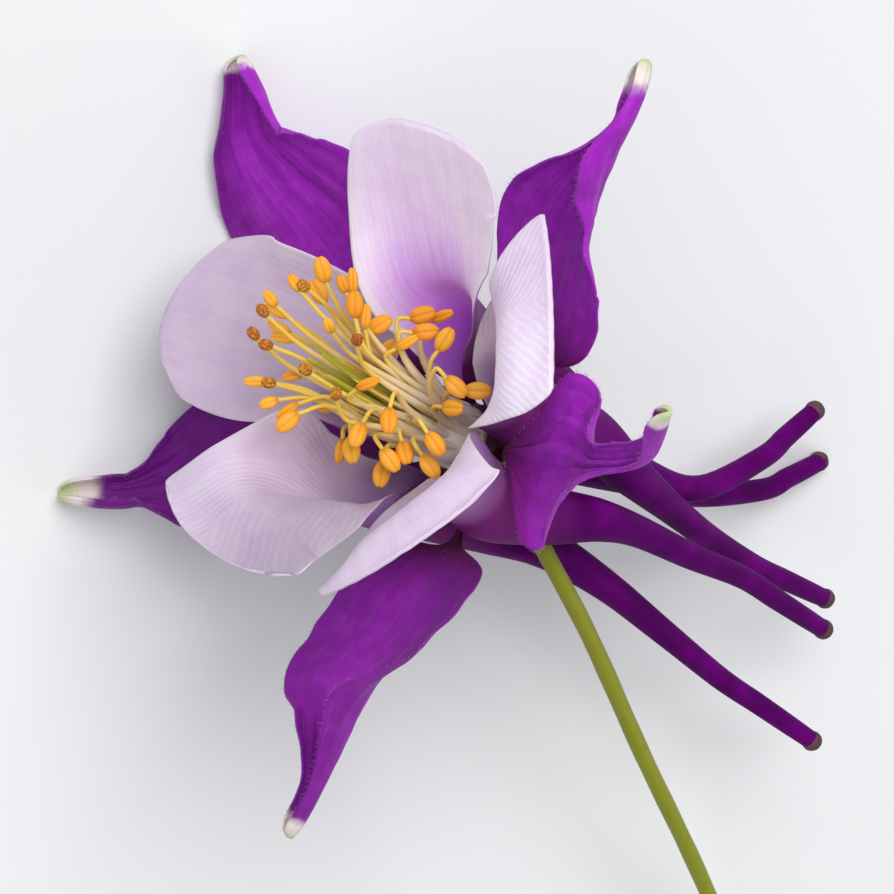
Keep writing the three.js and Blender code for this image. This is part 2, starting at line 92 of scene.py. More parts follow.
@dataclass(frozen=True)
class View:
    """The camera, which looks into the open bloom from one side.

    Attributes:
        turn: the azimuth that the camera stands over.
        tilt: degrees between the bloom's axis and the way to the camera.
        distance: millimetres from the receptacle.
        scale: pixels per millimetre at the receptacle.
        side: pixels along one side of the view.
        receptacle: where it stands on the view, in pixels from the upper left.
        sensor: millimetres along one side of the sensor.
        clip: the nearest and the farthest distance that it sees, in metres.
    """

    turn: float = 160.0
    tilt: float = 47.0
    distance: float = 330.0
    scale: float = 11.5
    side: float = 894.0
    receptacle: Pair = (468.0, 440.0)
    sensor: float = 36.0
    clip: Pair = (0.02, 20.0)

    def axes(self) -> Matrix:
        """Works out how the camera is turned.

        Returns:
            The rotation whose rows are the camera's right, up and back, in the bloom's frame.
        """
        turn, tilt = math.radians(self.turn), math.radians(self.tilt)
        axis = Vector((math.cos(turn) * math.sin(tilt), math.sin(turn) * math.sin(tilt), math.cos(tilt)))
        sideways = Vector((math.sin(turn), -math.cos(turn), 0))
        return Matrix((sideways, axis.cross(sideways), axis)).transposed()

    def point(self, x: float, y: float, up: float) -> Vector:
        """Finds a point of the bloom from where it shows.

        Args:
            x: pixels from the view's left side.
            y: pixels from its top.
            up: the point's height along the bloom's axis.

        Returns:
            The point in the bloom's frame.
        """
        right = (x - self.receptacle[0]) / self.scale
        above = (self.receptacle[1] - y) / self.scale
        axes = self.axes()
        across = axes[0][2] * right + axes[1][2] * above
        depth = (up - across) / (axes[2][2] - across / self.distance)
        near = 1 - depth / self.distance
        return axes.transposed() @ Vector((right * near, above * near, depth))

    def direction(self, angle: float, toward: float) -> Vector:
        """Gives a direction on the view as one in the bloom's frame.

        Args:
            angle: degrees from the view's right, anticlockwise.
            toward: degrees by which it comes out towards the camera.

        Returns:
            The unit direction.
        """
        a, b = math.radians(angle), math.radians(toward)
        seen = Vector((math.cos(a) * math.cos(b), math.sin(a) * math.cos(b), math.sin(b)))
        return self.axes().transposed() @ seen

    def make_camera(self) -> None:
        """Makes the camera and gives it to the scene."""
        data = bpy.data.cameras.new("camera")
        data.sensor_width = self.sensor
        data.lens = self.sensor * self.scale * self.distance / self.side
        data.clip_start, data.clip_end = self.clip
        camera = bpy.data.objects.new("camera", data)
        bpy.context.scene.collection.objects.link(camera)
        turned = LIE.turn().to_3x3() @ self.axes().transposed()
        middle = self.side / 2
        offset = Vector((
            (middle - self.receptacle[0]) / self.scale,
            (self.receptacle[1] - middle) / self.scale,
            self.distance,
        ))
        camera.matrix_world = Matrix.LocRotScale(
            (Vector(LIE.place) + turned @ offset) * MM, turned.to_quaternion(), None
        )
        bpy.context.scene.camera = camera


VIEW = View()


# ---- curves and sheets --------------------------------------------------------------------------------


def both(value: float | Pair) -> Pair:
    """Returns a value for each side, where one may stand for both."""
    return value if isinstance(value, tuple) else (value, value)


def smoothstep(value: float, low: float, high: float) -> float:
    """Returns 0 below low, 1 above high and a smooth rise between."""
    share = max(0.0, min(1.0, (value - low) / (high - low)))
    return share * share * (3 - 2 * share)


def lerp(a: float, b: float, share: float) -> float:
    """Returns the value that lies the given share of the way from a to b."""
    return a + (b - a) * share


def bloom_point(azimuth: float, out: float, up: float, side: float = 0.0) -> Vector:
    """Gives a point from its place round the axis.

    Args:
        azimuth: degrees round the axis.
        out: distance from it.
        up: height along it.
        side: offset round it, across that distance.

    Returns:
        The point in the bloom's frame.
    """
    a = math.radians(azimuth)
    return Vector((
        out * math.cos(a) - side * math.sin(a),
        out * math.sin(a) + side * math.cos(a),
        up,
    ))


def running_lengths(points: Sequence[Vector]) -> list[float]:
    """Measures along a chain of points.

    Args:
        points: the chain.

    Returns:
        The length from the first point to each one.
    """
    lengths = [0.0]
    for a, b in zip(points, points[1:]):
        lengths.append(lengths[-1] + (b - a).length)
    return lengths


class Spline:
    """A smooth curve through evenly timed knots."""

    def __init__(self, knots: Sequence[Sequence[float]], runs_on: bool = True) -> None:
        """Keeps the knots, with one more beyond each end.

        Args:
            knots: the points to pass through.
            runs_on: whether the curve leaves its end knots straight on, or slows to a stop there.
        """
        inner = [Vector(knot) for knot in knots]
        first = 2 * inner[0] - inner[1] if runs_on else inner[0]
        last = 2 * inner[-1] - inner[-2] if runs_on else inner[-1]
        self.knots = [first, *inner, last]
        self.spans = len(inner) - 1

    def at(self, t: float) -> Vector:
        """Gives a point of the curve.

        Args:
            t: its time, from 0 to 1.

        Returns:
            The point.
        """
        k = min(int(t * self.spans), self.spans - 1)
        w = t * self.spans - k
        a, b, c, d = self.knots[k : k + 4]
        return b + 0.5 * w * (c - a + w * (2 * a - 5 * b + 4 * c - d + w * (3 * (b - c) + d - a)))

    def tangent(self, t: float) -> Vector:
        """Returns the unit direction of travel at time t."""
        step = 1e-4
        return (self.at(min(t + step, 1.0)) - self.at(max(t - step, 0.0))).normalized()


@dataclass(frozen=True)
class Station:
    """A sheet's mid-line place and the section that it has there.

    Attributes:
        out: distance from the bloom's axis.
        up: height along the axis.
        side: offset round the axis.
        half: width from the mid-line to each margin, along the section.
        curl: degrees by which each half bends towards the cup; 180 closes a tube.
        fold: degrees by which each half is turned up at the mid-line.
        flare: how far each margin turns back out again.
    """

    out: float
    up: float
    half: float | Pair
    side: float = 0.0
    curl: float | Pair = 0.0
    fold: float | Pair = 0.0
    flare: float | Pair = 0.0


@dataclass
class Section:
    """A sheet's section at one place along its mid-line."""

    middle: Vector
    along: Vector
    across: Vector
    inward: Vector
    half: Vector
    curl: Vector
    fold: Vector
    flare: Vector

    def point(self, v: float, lift: float) -> Vector:
        """Gives a point of the section.

        Args:
            v: place across, from -1 at the margin of lower azimuth to 1.
            lift: how far the point stands off the sheet, towards the cup.

        Returns:
            The point in the bloom's frame.
        """
        k = 0 if v < 0 else 1
        sign = -1 if v < 0 else 1
        reach = abs(v)
        bend = math.radians(self.curl[k]) or 0.001
        rise = math.tan(math.radians(self.fold[k]))
        sideways = sign * self.half[k] * math.sin(bend * reach) / bend
        arc = (1 - math.cos(bend * reach)) / bend
        depth = self.half[k] * (arc + reach * rise) - self.flare[k] * reach**3
        slope = math.sin(bend * reach) + rise - 3 * self.flare[k] * reach**2 / max(self.half[k], 0.01)
        normal = (self.inward * math.cos(bend * reach) - self.across * sign * slope).normalized()
        return self.middle + self.across * sideways + self.inward * depth + normal * lift


class Sheet:
    """The middle surface of a petal or sepal, swept along its mid-line through stations."""

    def __init__(
        self, azimuth: float, stations: Sequence[Station], end_width: Callable[[float], Vector]
    ) -> None:
        """Prepares the curves.

        Args:
            azimuth: the sheet's own azimuth.
            stations: what it passes through, from its root to its tip.
            end_width: share of each half's width kept at each time, for a rounded tip.
        """
        self.round = bloom_point(azimuth, 0, 0, 1)
        self.end_width = end_width
        self.midline = Spline([bloom_point(azimuth, s.out, s.up, s.side) for s in stations])
        self.half = Spline([both(s.half) for s in stations], runs_on=False)
        self.curl = Spline([both(s.curl) for s in stations], runs_on=False)
        self.fold = Spline([both(s.fold) for s in stations], runs_on=False)
        self.flare = Spline([both(s.flare) for s in stations], runs_on=False)

    def section(self, t: float) -> Section:
        """Works out one section.

        Args:
            t: its time, from 0 at the root to 1 at the tip.

        Returns:
            The section.
        """
        along = self.midline.tangent(t)
        across = (self.round - along * self.round.dot(along)).normalized()
        width = self.end_width(t)
        return Section(
            middle=self.midline.at(t),
            along=along,
            across=across,
            inward=along.cross(across),
            half=self.half.at(t) * width,
            curl=self.curl.at(t),
            fold=self.fold.at(t),
            flare=self.flare.at(t) * width,
        )

    def sweep(self, rows_in_spans: Sequence[int]) -> tuple[list[float], list[Section], list[float]]:
        """Divides the sheet into rows.

        Args:
            rows_in_spans: how many rows each span from station to station gets.

        Returns:
            The time of each row, its section and its length along the mid-line.
        """
        spans = len(rows_in_spans)
        times = [(k + i / rows) / spans for k, rows in enumerate(rows_in_spans) for i in range(rows)]
        times.append(1.0)
        sections = [self.section(t) for t in times]
        return times, sections, running_lengths([section.middle for section in sections])


# ---- meshes -------------------------------------------------------------------------------------------


class Weave:
    """A mesh in the making, with the two maps that its finishes read.

    The map "form" holds (place across, place along) as shares. The map "size" holds the same places in
    millimetres on a sepal, and as shares of its half width and half length on a closed body.
    """

    WELD = 2e-6

    def __init__(self) -> None:
        """Starts an empty mesh."""
        self.bm = bmesh.new()
        self.form = self.bm.loops.layers.uv.new("form")
        self.size = self.bm.loops.layers.uv.new("size")
        self.thickness = self.bm.verts.layers.deform.verify()

    def grid(
        self,
        columns: int,
        rows: int,
        place: Callable[[float, int], Vector],
        form: Callable[[float, int], Pair],
        size: Callable[[float, int], Pair] | None = None,
        thickness: Callable[[float, int], float] | None = None,
    ) -> None:
        """Adds a grid laid over a surface.

        Args:
            columns: faces across.
            rows: faces along.
            place: gives a vertex's point in the bloom's frame from its v, from -1 to 1, and its row.
            form: gives its place on the map "form".
            size: gives its place on the map "size", where a finish reads it.
            thickness: gives the share of the full thickness that the sheet has there.
        """
        made = bmesh.ops.create_grid(self.bm, x_segments=columns, y_segments=rows, size=1.0)["verts"]
        places = {vert: (vert.co.x, round((vert.co.y + 1) / 2 * rows)) for vert in made}
        for face in {face for vert in made for face in vert.link_faces}:
            face.smooth = True
            for loop in face.loops:
                loop[self.form].uv = form(*places[loop.vert])
                if size:
                    loop[self.size].uv = size(*places[loop.vert])
        for vert, (v, row) in places.items():
            vert.co = PLACE @ place(v, row)
            if thickness:
                vert[self.thickness][0] = thickness(v, row)

    def rod(
        self,
        path: Spline,
        radius: Callable[[float], float],
        sides: int,
        rows: int,
        tone: float = 0.0,
    ) -> None:
        """Adds a round rod along a curve.

        Args:
            path: the rod's middle line.
            radius: gives the radius at each time; 0 at an end closes it.
            sides: faces round it.
            rows: faces along it.
            tone: a number kept on the map "form" across the rod, for small differences of colour.
        """
        middles = [path.at(i / rows) for i in range(rows + 1)]
        tangents = [path.tangent(i / rows) for i in range(rows + 1)]
        normals = [tangents[0].orthogonal().normalized()]
        for tangent in tangents[1:]:
            normals.append((normals[-1] - tangent * normals[-1].dot(tangent)).normalized())

        def place(v: float, row: int) -> Vector:
            """Gives a vertex's point.

            Args:
                v: place round the rod, from -1 to 1.
                row: place along it.

            Returns:
                The point in the bloom's frame.
            """
            angle = math.pi * v
            ring = normals[row] * math.cos(angle) + normals[row].cross(tangents[row]) * math.sin(angle)
            return middles[row] + ring * radius(row / rows)

        self.grid(sides, rows, place, form=lambda v, row: (tone, row / rows))

    def body(
        self, shape: Callable[[Vector], Vector], tone: float, detail: tuple[int, int], material: int = 0
    ) -> None:
        """Adds a closed body, shaped from a ball.

        Args:
            shape: gives a vertex's point in the bloom's frame from its place on a ball of radius 1.
            tone: a number kept on the map "form" for small differences of colour.
            detail: faces round the ball and from pole to pole.
            material: the slot of its finish.
        """
        around, along = detail
        made = bmesh.ops.create_uvsphere(self.bm, u_segments=around, v_segments=along, radius=1.0)["verts"]
        places = {vert: vert.co.copy() for vert in made}
        for face in {face for vert in made for face in vert.link_faces}:
            face.smooth = True
            face.material_index = material
            for loop in face.loops:
                loop[self.form].uv = (tone, places[loop.vert].z / 2 + 0.5)
                loop[self.size].uv = (places[loop.vert].x, places[loop.vert].z)
        for vert, ball in places.items():
            vert.co = PLACE @ shape(ball)

    def finish(
        self, name: str, materials: Sequence[bpy.types.Material], slot: str, *nodes: str, sheet: float = 0.0
    ) -> bpy.types.Object:
        """Welds the mesh and makes it a piece that rides on the bloom.

        Args:
            name: the piece's name.
            materials: its finishes, in the order of their slots.
            slot: the record's material slot; not used.
            nodes: the solids that the piece stands for.
            sheet: full thickness where the mesh is a middle surface, in millimetres.

        Returns:
            The finished object.
        """
        bmesh.ops.remove_doubles(self.bm, verts=self.bm.verts, dist=self.WELD)
        mesh = bpy.data.meshes.new(name)
        self.bm.to_mesh(mesh)
        self.bm.free()
        piece = bpy.data.objects.new(name, mesh)
        bpy.context.scene.collection.objects.link(piece)
        for material in materials:
            mesh.materials.append(material)
        if sheet:
            piece.vertex_groups.new(name="thickness")
            skin = piece.modifiers.new("thickness", "SOLIDIFY")
            skin.thickness = sheet * MM
            skin.offset = 0.0
            skin.vertex_group = "thickness"
        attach(piece, "root")
        if nodes:
            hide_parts(*nodes)
        log.info("%s: %d faces", name, len(mesh.polygons))
        return piece


# ---- finishes -----------------------------------------------------------------------------------------

Socket = bpy.types.NodeSocket
Group = bpy.types.NodeTree


class Tree:
    """A node tree being wired, for a material or a shared group."""

    def __init__(self, tree: Group) -> None:
        """Keeps the tree to add nodes to."""
        self.tree = tree

    def node(self, kind: str, inputs: dict | None = None, **settings: object) -> bpy.types.Node:
        """Adds a node.

        Args:
            kind: the node's type.
            inputs: values or output sockets for its inputs, by name or number.
            settings: its other properties.

        Returns:
            The node.
        """
        made = self.tree.nodes.new(kind)
        for key, value in settings.items():
            setattr(made, key, value)
        for key, value in (inputs or {}).items():
            if isinstance(value, Socket):
                self.tree.links.new(value, made.inputs[key])
            else:
                made.inputs[key].default_value = value
        return made

    def group(self, group: Group, **inputs: object) -> bpy.types.bpy_prop_collection:
        """Places a shared group with its own inputs and returns its outputs."""
        return self.node("ShaderNodeGroup", inputs, node_tree=group).outputs

    def math(self, operation: str, a: object, b: object = 0.0, clamp: bool = False) -> Socket:
        """Returns the result of a Math node on two values."""
        return self.node("ShaderNodeMath", {0: a, 1: b}, operation=operation, use_clamp=clamp).outputs[0]

    def times(self, a: object, b: object) -> Socket:
        """Returns a times b."""
        return self.math("MULTIPLY", a, b)

    def plus(self, a: object, b: object) -> Socket:
        """Returns a plus b."""
        return self.math("ADD", a, b)

    def minus(self, a: object, b: object) -> Socket:
        """Returns a less b."""
        return self.math("SUBTRACT", a, b)

    def ease(self, value: object, low: float, high: float) -> Socket:
        """Returns a smooth rise from 0 to 1 as value goes from low to high, which may lie below low."""
        inputs = {"Value": value, "From Min": low, "From Max": high}
        return self.node("ShaderNodeMapRange", inputs, interpolation_type="SMOOTHSTEP").outputs["Result"]

    def ramp(self, value: Socket, stops: Sequence[tuple[float, Colour]]) -> Socket:
        """Builds a colour ramp.

        Args:
            value: the place on the ramp, from 0 to 1.
            stops: each stop's place and colour.

        Returns:
            The colour's socket.
        """
        node = self.node("ShaderNodeValToRGB", {"Fac": value})
        elements = node.color_ramp.elements
        while len(elements) < len(stops):
            elements.new(0.5)
        for element, (place, colour) in zip(elements, stops):
            element.position = place
            element.color = (*colour, 1.0)
        return node.outputs["Color"]

    def mix(self, share: object, a: object, b: object, blend: str = "MIX") -> Socket:
        """Mixes two colours.

        Args:
            share: how much of the second there is.
            a: the first, a colour or a socket.
            b: the second.
            blend: the way they are blended.

        Returns:
            The mixed colour's socket.
        """
        node = self.node("ShaderNodeMix", {"Factor": share}, data_type="RGBA", blend_type=blend)
        for name, value in (("A", a), ("B", b)):
            socket = next(s for s in node.inputs if s.name == name and s.type == "RGBA")
            if isinstance(value, Socket):
                self.tree.links.new(value, socket)
            else:
                socket.default_value = (*value, 1.0)
        return next(s for s in node.outputs if s.type == "RGBA")

    def map(self, name: str) -> tuple[Socket, Socket]:
        """Reads one of the mesh's maps.

        Args:
            name: the map's name.

        Returns:
            The sockets of its two coordinates.
        """
        node = self.node("ShaderNodeUVMap", uv_map=name)
        parts = self.node("ShaderNodeSeparateXYZ", {0: node.outputs[0]}).outputs
        return parts["X"], parts["Y"]

    def vector(self, x: object, y: object) -> Socket:
        """Returns a vector of two values and 0."""
        return self.node("ShaderNodeCombineXYZ", {"X": x, "Y": y}).outputs[0]

    def noise(self, vector: Socket, scale: float, detail: float = 2.0) -> Socket:
        """Returns smooth noise between 0 and 1."""
        inputs = {"Vector": vector, "Scale": scale, "Detail": detail}
        return self.node("ShaderNodeTexNoise", inputs).outputs["Fac"]


def shared_group(name: str, inputs: dict[str, float], outputs: Sequence[str]) -> tuple[Tree, Group]:
    """Starts a shared node group.

    Args:
        name: the group's name.
        inputs: the default of each number that it takes.
        outputs: the masks that it gives.

    Returns:
        The tree to wire and the group itself.
    """
    group = bpy.data.node_groups.new(name, "ShaderNodeTree")
    for key, value in inputs.items():
        socket = group.interface.new_socket(name=key, in_out="INPUT", socket_type="NodeSocketFloat")
        socket.default_value = value
    for key in outputs:
        group.interface.new_socket(name=key, in_out="OUTPUT", socket_type="NodeSocketFloat")
    return Tree(group), group


def make_veins() -> Group:
    """Builds the group of veins that run along a sheet and fork towards its margins.

    Returns:
        The group: Across and Along are places on the sheet, Count is veins over the half width, Fan is how
        fast they spread to the margins, Wander how far they stray and Width how wide they are, as a share
        of the space between them. Vein is 1 on a vein, and Rib is the smooth rise between the veins.
    """
    inputs = {"Across": 0.0, "Along": 0.0, "Count": 8.0, "Fan": 0.0, "Wander": 0.3, "Width": 0.35}
    tree, group = shared_group("veins", inputs, ["Vein", "Rib"])
    given = tree.node("NodeGroupInput").outputs
    drift = tree.noise(tree.vector(tree.times(given["Across"], 2.2), given["Along"]), 2.4, 3.0)
    shift = tree.times(tree.minus(drift, 0.5), given["Wander"])
    apart = tree.minus(tree.math("ABSOLUTE", given["Across"]), tree.times(given["Along"], given["Fan"]))
    lane = tree.times(tree.plus(apart, shift), given["Count"])
    saw = tree.math("PINGPONG", lane, 0.5)
    line = tree.math("SUBTRACT", 1.0, tree.math("DIVIDE", saw, given["Width"]), clamp=True)
    fork = tree.math("PINGPONG", tree.plus(lane, 0.5), 0.5)
    branch = tree.math("SUBTRACT", 1.0, tree.math("DIVIDE", fork, given["Width"]), clamp=True)
    vein = tree.math("MAXIMUM", line, tree.times(branch, tree.ease(given["Along"], 0.35, 0.7)))
    tree.node("NodeGroupOutput", {"Vein": vein, "Rib": tree.times(saw, 2.0)})
    return group


def make_cells() -> Group:
    """Builds the group of fine skin cells and soft mottling.

    Returns:
        The group: Fine is the number of cells per metre, and Mottle the number of soft patches.
    """
    tree, group = shared_group("cells", {"Fine": 9000.0, "Mottle": 500.0}, ["Cell", "Patch"])
    given = tree.node("NodeGroupInput").outputs
    place = tree.node("ShaderNodeTexCoord").outputs["Object"]
    cells = tree.node("ShaderNodeTexVoronoi", {"Vector": place, "Scale": given["Fine"]})
    patch = tree.noise(place, given["Mottle"], 4.0)
    tree.node("NodeGroupOutput", {"Cell": cells.outputs["Distance"], "Patch": patch})
    return group


@dataclass(frozen=True)
class Shared:
    """The node groups that the finishes share."""

    veins: Group
    cells: Group


@dataclass
class Draft:
    """A finish being wired: its material, tree and shader, and the outputs of its own skin cells."""

    material: bpy.types.Material
    tree: Tree
    shader: bpy.types.Node
    cell: Socket
    patch: Socket


@dataclass(frozen=True)
class Skin:
    """What all of the bloom's finishes share: a soft, slightly see-through skin.

    Attributes:
        name: the material's name.
        glow: how much light spreads under the skin.
        depth: how far it spreads, in millimetres.
        spread: the share of that distance for red, green and blue light.
        bump: how strongly the relief shows.
        relief: height of the relief, in millimetres.
        fine: skin cells per metre.
        mottle: soft patches per metre.
    """

    name: str
    roughness: float = 0.6
    specular: float = 0.3
    glow: float = 0.1
    depth: float = 0.6
    spread: Colour = (1.0, 0.7, 1.0)
    sheen: float = 0.0
    sheen_roughness: float = 0.45
    sheen_tint: Colour = (1.0, 1.0, 1.0)
    bump: float = 0.2
    relief: float = 0.05
    fine: float = 9000.0
    mottle: float = 500.0

    def start(self, shared: Shared) -> Draft:
        """Starts the material and sets its even values.

        Args:
            shared: the shared groups.

        Returns:
            The material and what it is wired with.
        """
        material = bpy.data.materials.new(self.name)
        material.use_nodes = True
        shader = material.node_tree.nodes["Principled BSDF"]
        even = {
            "Roughness": self.roughness,
            "Specular IOR Level": self.specular,
            "Subsurface Weight": self.glow,
            "Subsurface Radius": self.spread,
            "Subsurface Scale": self.depth * MM,
            "Sheen Weight": self.sheen,
            "Sheen Roughness": self.sheen_roughness,
            "Sheen Tint": (*self.sheen_tint, 1.0),
        }
        for key, value in even.items():
            shader.inputs[key].default_value = value
        tree = Tree(material.node_tree)
        cells = tree.group(shared.cells, Fine=self.fine, Mottle=self.mottle)
        return Draft(material, tree, shader, cells["Cell"], cells["Patch"])

    def close(self, draft: Draft, colour: Socket, height: Socket) -> bpy.types.Material:
        """Wires the colour and the relief to the shader.

        Args:
            draft: the finish being wired.
            colour: the base colour's socket.
            height: the relief's socket.

        Returns:
            The finished material.
        """
        inputs = {"Strength": self.bump, "Distance": self.relief * MM, "Height": height}
        relief = draft.tree.node("ShaderNodeBump", inputs)
        links = draft.tree.tree.links
        links.new(colour, draft.shader.inputs["Base Color"])
        links.new(relief.outputs["Normal"], draft.shader.inputs["Normal"])
        return draft.material


@dataclass(frozen=True)
class PetalSkin(Skin):
    """A petal's inner face: a pale blade with faint fine veins, violet in the depth of the cup.

    Attributes:
        painted_shading: painted light and shade, how light the blade is made at each margin, against the
            palest petal.
        reach: share of the blade over which the cup's violet fades out.
        strength: how strong that violet is.
        lean: how far its middle lies towards the margin of higher azimuth.
        fade: how much sooner it ends at the margins.
        veins: veins over half of the width.
        fan: how fast they spread to the margins.
        vein_shade: how dark they are.
        mottling: how dark the soft patches are.
        rim_light: how much of the rim's colour shows.
    """

    name: str = "petal_skin"
    roughness: float = 0.62
    glow: float = 0.45
    depth: float = 1.2
    sheen: float = 0.06
    sheen_tint: Colour = (1.0, 0.85, 1.0)
    bump: float = 0.35
    fine: float = 7000.0
    mottle: float = 420.0
    blade: Colour = (0.85, 0.71, 0.89)
    shade: Colour = (0.66, 0.42, 0.80)
    cup: Colour = (0.62, 0.21, 0.86)
    depths: Colour = (0.12, 0.02, 0.17)
    rim: Colour = (0.86, 0.76, 0.86)
    painted_shading: Pair = (1.0, 1.0)
    reach: float = 0.5
    strength: float = 1.0
    lean: float = 0.0
    fade: float = 0.55
    veins: float = 13.0
    fan: float = 0.3
    vein_shade: float = 0.13
    mottling: float = 0.12
    rim_light: float = 0.7

    def material(self, shared: Shared) -> bpy.types.Material:
        """Makes the finish.

        Args:
            shared: the node groups that it uses.

        Returns:
            The finished material.
        """
        draft = self.start(shared)
        tree = draft.tree
        across, along = tree.map("form")
        vein = tree.group(
            shared.veins, Across=across, Along=along, Count=self.veins, Fan=self.fan, Wander=0.14, Width=0.3
        )
        base = self.violet(tree, across, along)
        base = tree.mix(tree.ease(along, 0.01, -0.12), base, self.depths)
        edge = tree.math("ABSOLUTE", across)
        inside = tree.times(tree.ease(along, -0.02, 0.06), tree.ease(edge, 0.82, 0.99))
        base = tree.mix(tree.times(inside, self.rim_light), base, self.rim)
        on_blade = tree.ease(along, 0.1, 0.4)
        faint = tree.times(tree.ease(draft.patch, 0.3, 0.65), self.vein_shade)
        base = tree.mix(tree.times(tree.times(vein["Vein"], on_blade), faint), base, self.shade)
        mottling = tree.times(tree.ease(draft.patch, 0.35, 0.7), self.mottling)
        base = tree.mix(mottling, base, self.shade, blend="MULTIPLY")
        # painted light and shade: the blade is made lighter or darker towards each margin, as light falls on
        # it
        first, second = ((tone, tone, tone) for tone in self.painted_shading)
        tone = tree.mix(tree.ease(across, -0.7, 0.7), first, second)
        base = tree.mix(1.0, base, tone, blend="MULTIPLY")
        height = tree.plus(tree.times(vein["Rib"], on_blade), tree.times(draft.cell, 0.2))
        return self.close(draft, base, height)

    def violet(self, tree: Tree, across: Socket, along: Socket) -> Socket:
        """Colours the blade, from the cup's violet to its pale end.

        Args:
            tree: the material's tree.
            across: the place across the petal.
            along: the place along its blade.

        Returns:
            The colour's socket.
        """
        streaks = tree.noise(tree.vector(tree.times(across, 9.0), along), 1.6, 3.0)
        pushed = tree.plus(along, tree.times(tree.minus(0.5, streaks), 0.3 * self.reach))
        aside = tree.math("ABSOLUTE", tree.minus(across, self.lean))
        near_edge = tree.times(tree.ease(aside, 0.25, 1.0), self.fade * self.reach)
        left = tree.ease(tree.plus(pushed, near_edge), self.reach, 0.12 * self.reach)
        stops = [(0.0, self.blade), (0.5, self.shade), (1.0, self.cup)]
        return tree.ramp(tree.times(left, self.strength), stops)


@dataclass(frozen=True)
class PetalBackSkin(Skin):
    """A petal's outer face: a deep violet spur with paler patches of painted highlight, reddish round the
    funnel, paling up the blade.
    """

    name: str = "petal_back_skin"
    roughness: float = 0.58
    specular: float = 0.03
    bump: float = 0.4
    fine: float = 6000.0
    mottle: float = 260.0
    blade: Colour = (0.74, 0.60, 0.76)
    middle: Colour = (0.36, 0.19, 0.42)
    funnel: Colour = (0.15, 0.016, 0.135)
    spur: Colour = (0.070, 0.0005, 0.088)
    # painted highlight: a paler violet laid in soft patches on the spur
    light: Colour = (0.19, 0.001, 0.23)
    patches: float = 0.5  # how much of the painted highlight shows on the spur, in soft paler patches

    def material(self, shared: Shared) -> bpy.types.Material:
        """Makes the finish.

        Args:
            shared: the node groups that it uses.

        Returns:
            The finished material.
        """
        draft = self.start(shared)
        tree = draft.tree
        across, along = tree.map("form")
        vein = tree.group(shared.veins, Across=across, Along=along)
        from_spur_end = tree.plus(tree.times(along, 0.5), 0.5)  # the throat is at 0.5
        base = tree.ramp(from_spur_end, [
            (0.0, self.spur),
            (0.40, self.spur),
            (0.49, self.funnel),
            (0.58, self.funnel),
            (0.68, self.middle),
            (0.80, self.blade),
            (1.0, self.blade),
        ])
        # painted highlight: soft patches of paler violet on the spur
        on_spur = tree.ease(along, 0.0, -0.25)
        patch = tree.times(tree.ease(draft.patch, 0.35, 0.75), self.patches)
        base = tree.mix(tree.times(on_spur, patch), base, self.light)
        return self.close(draft, base, tree.plus(vein["Rib"], tree.times(draft.cell, 0.2)))


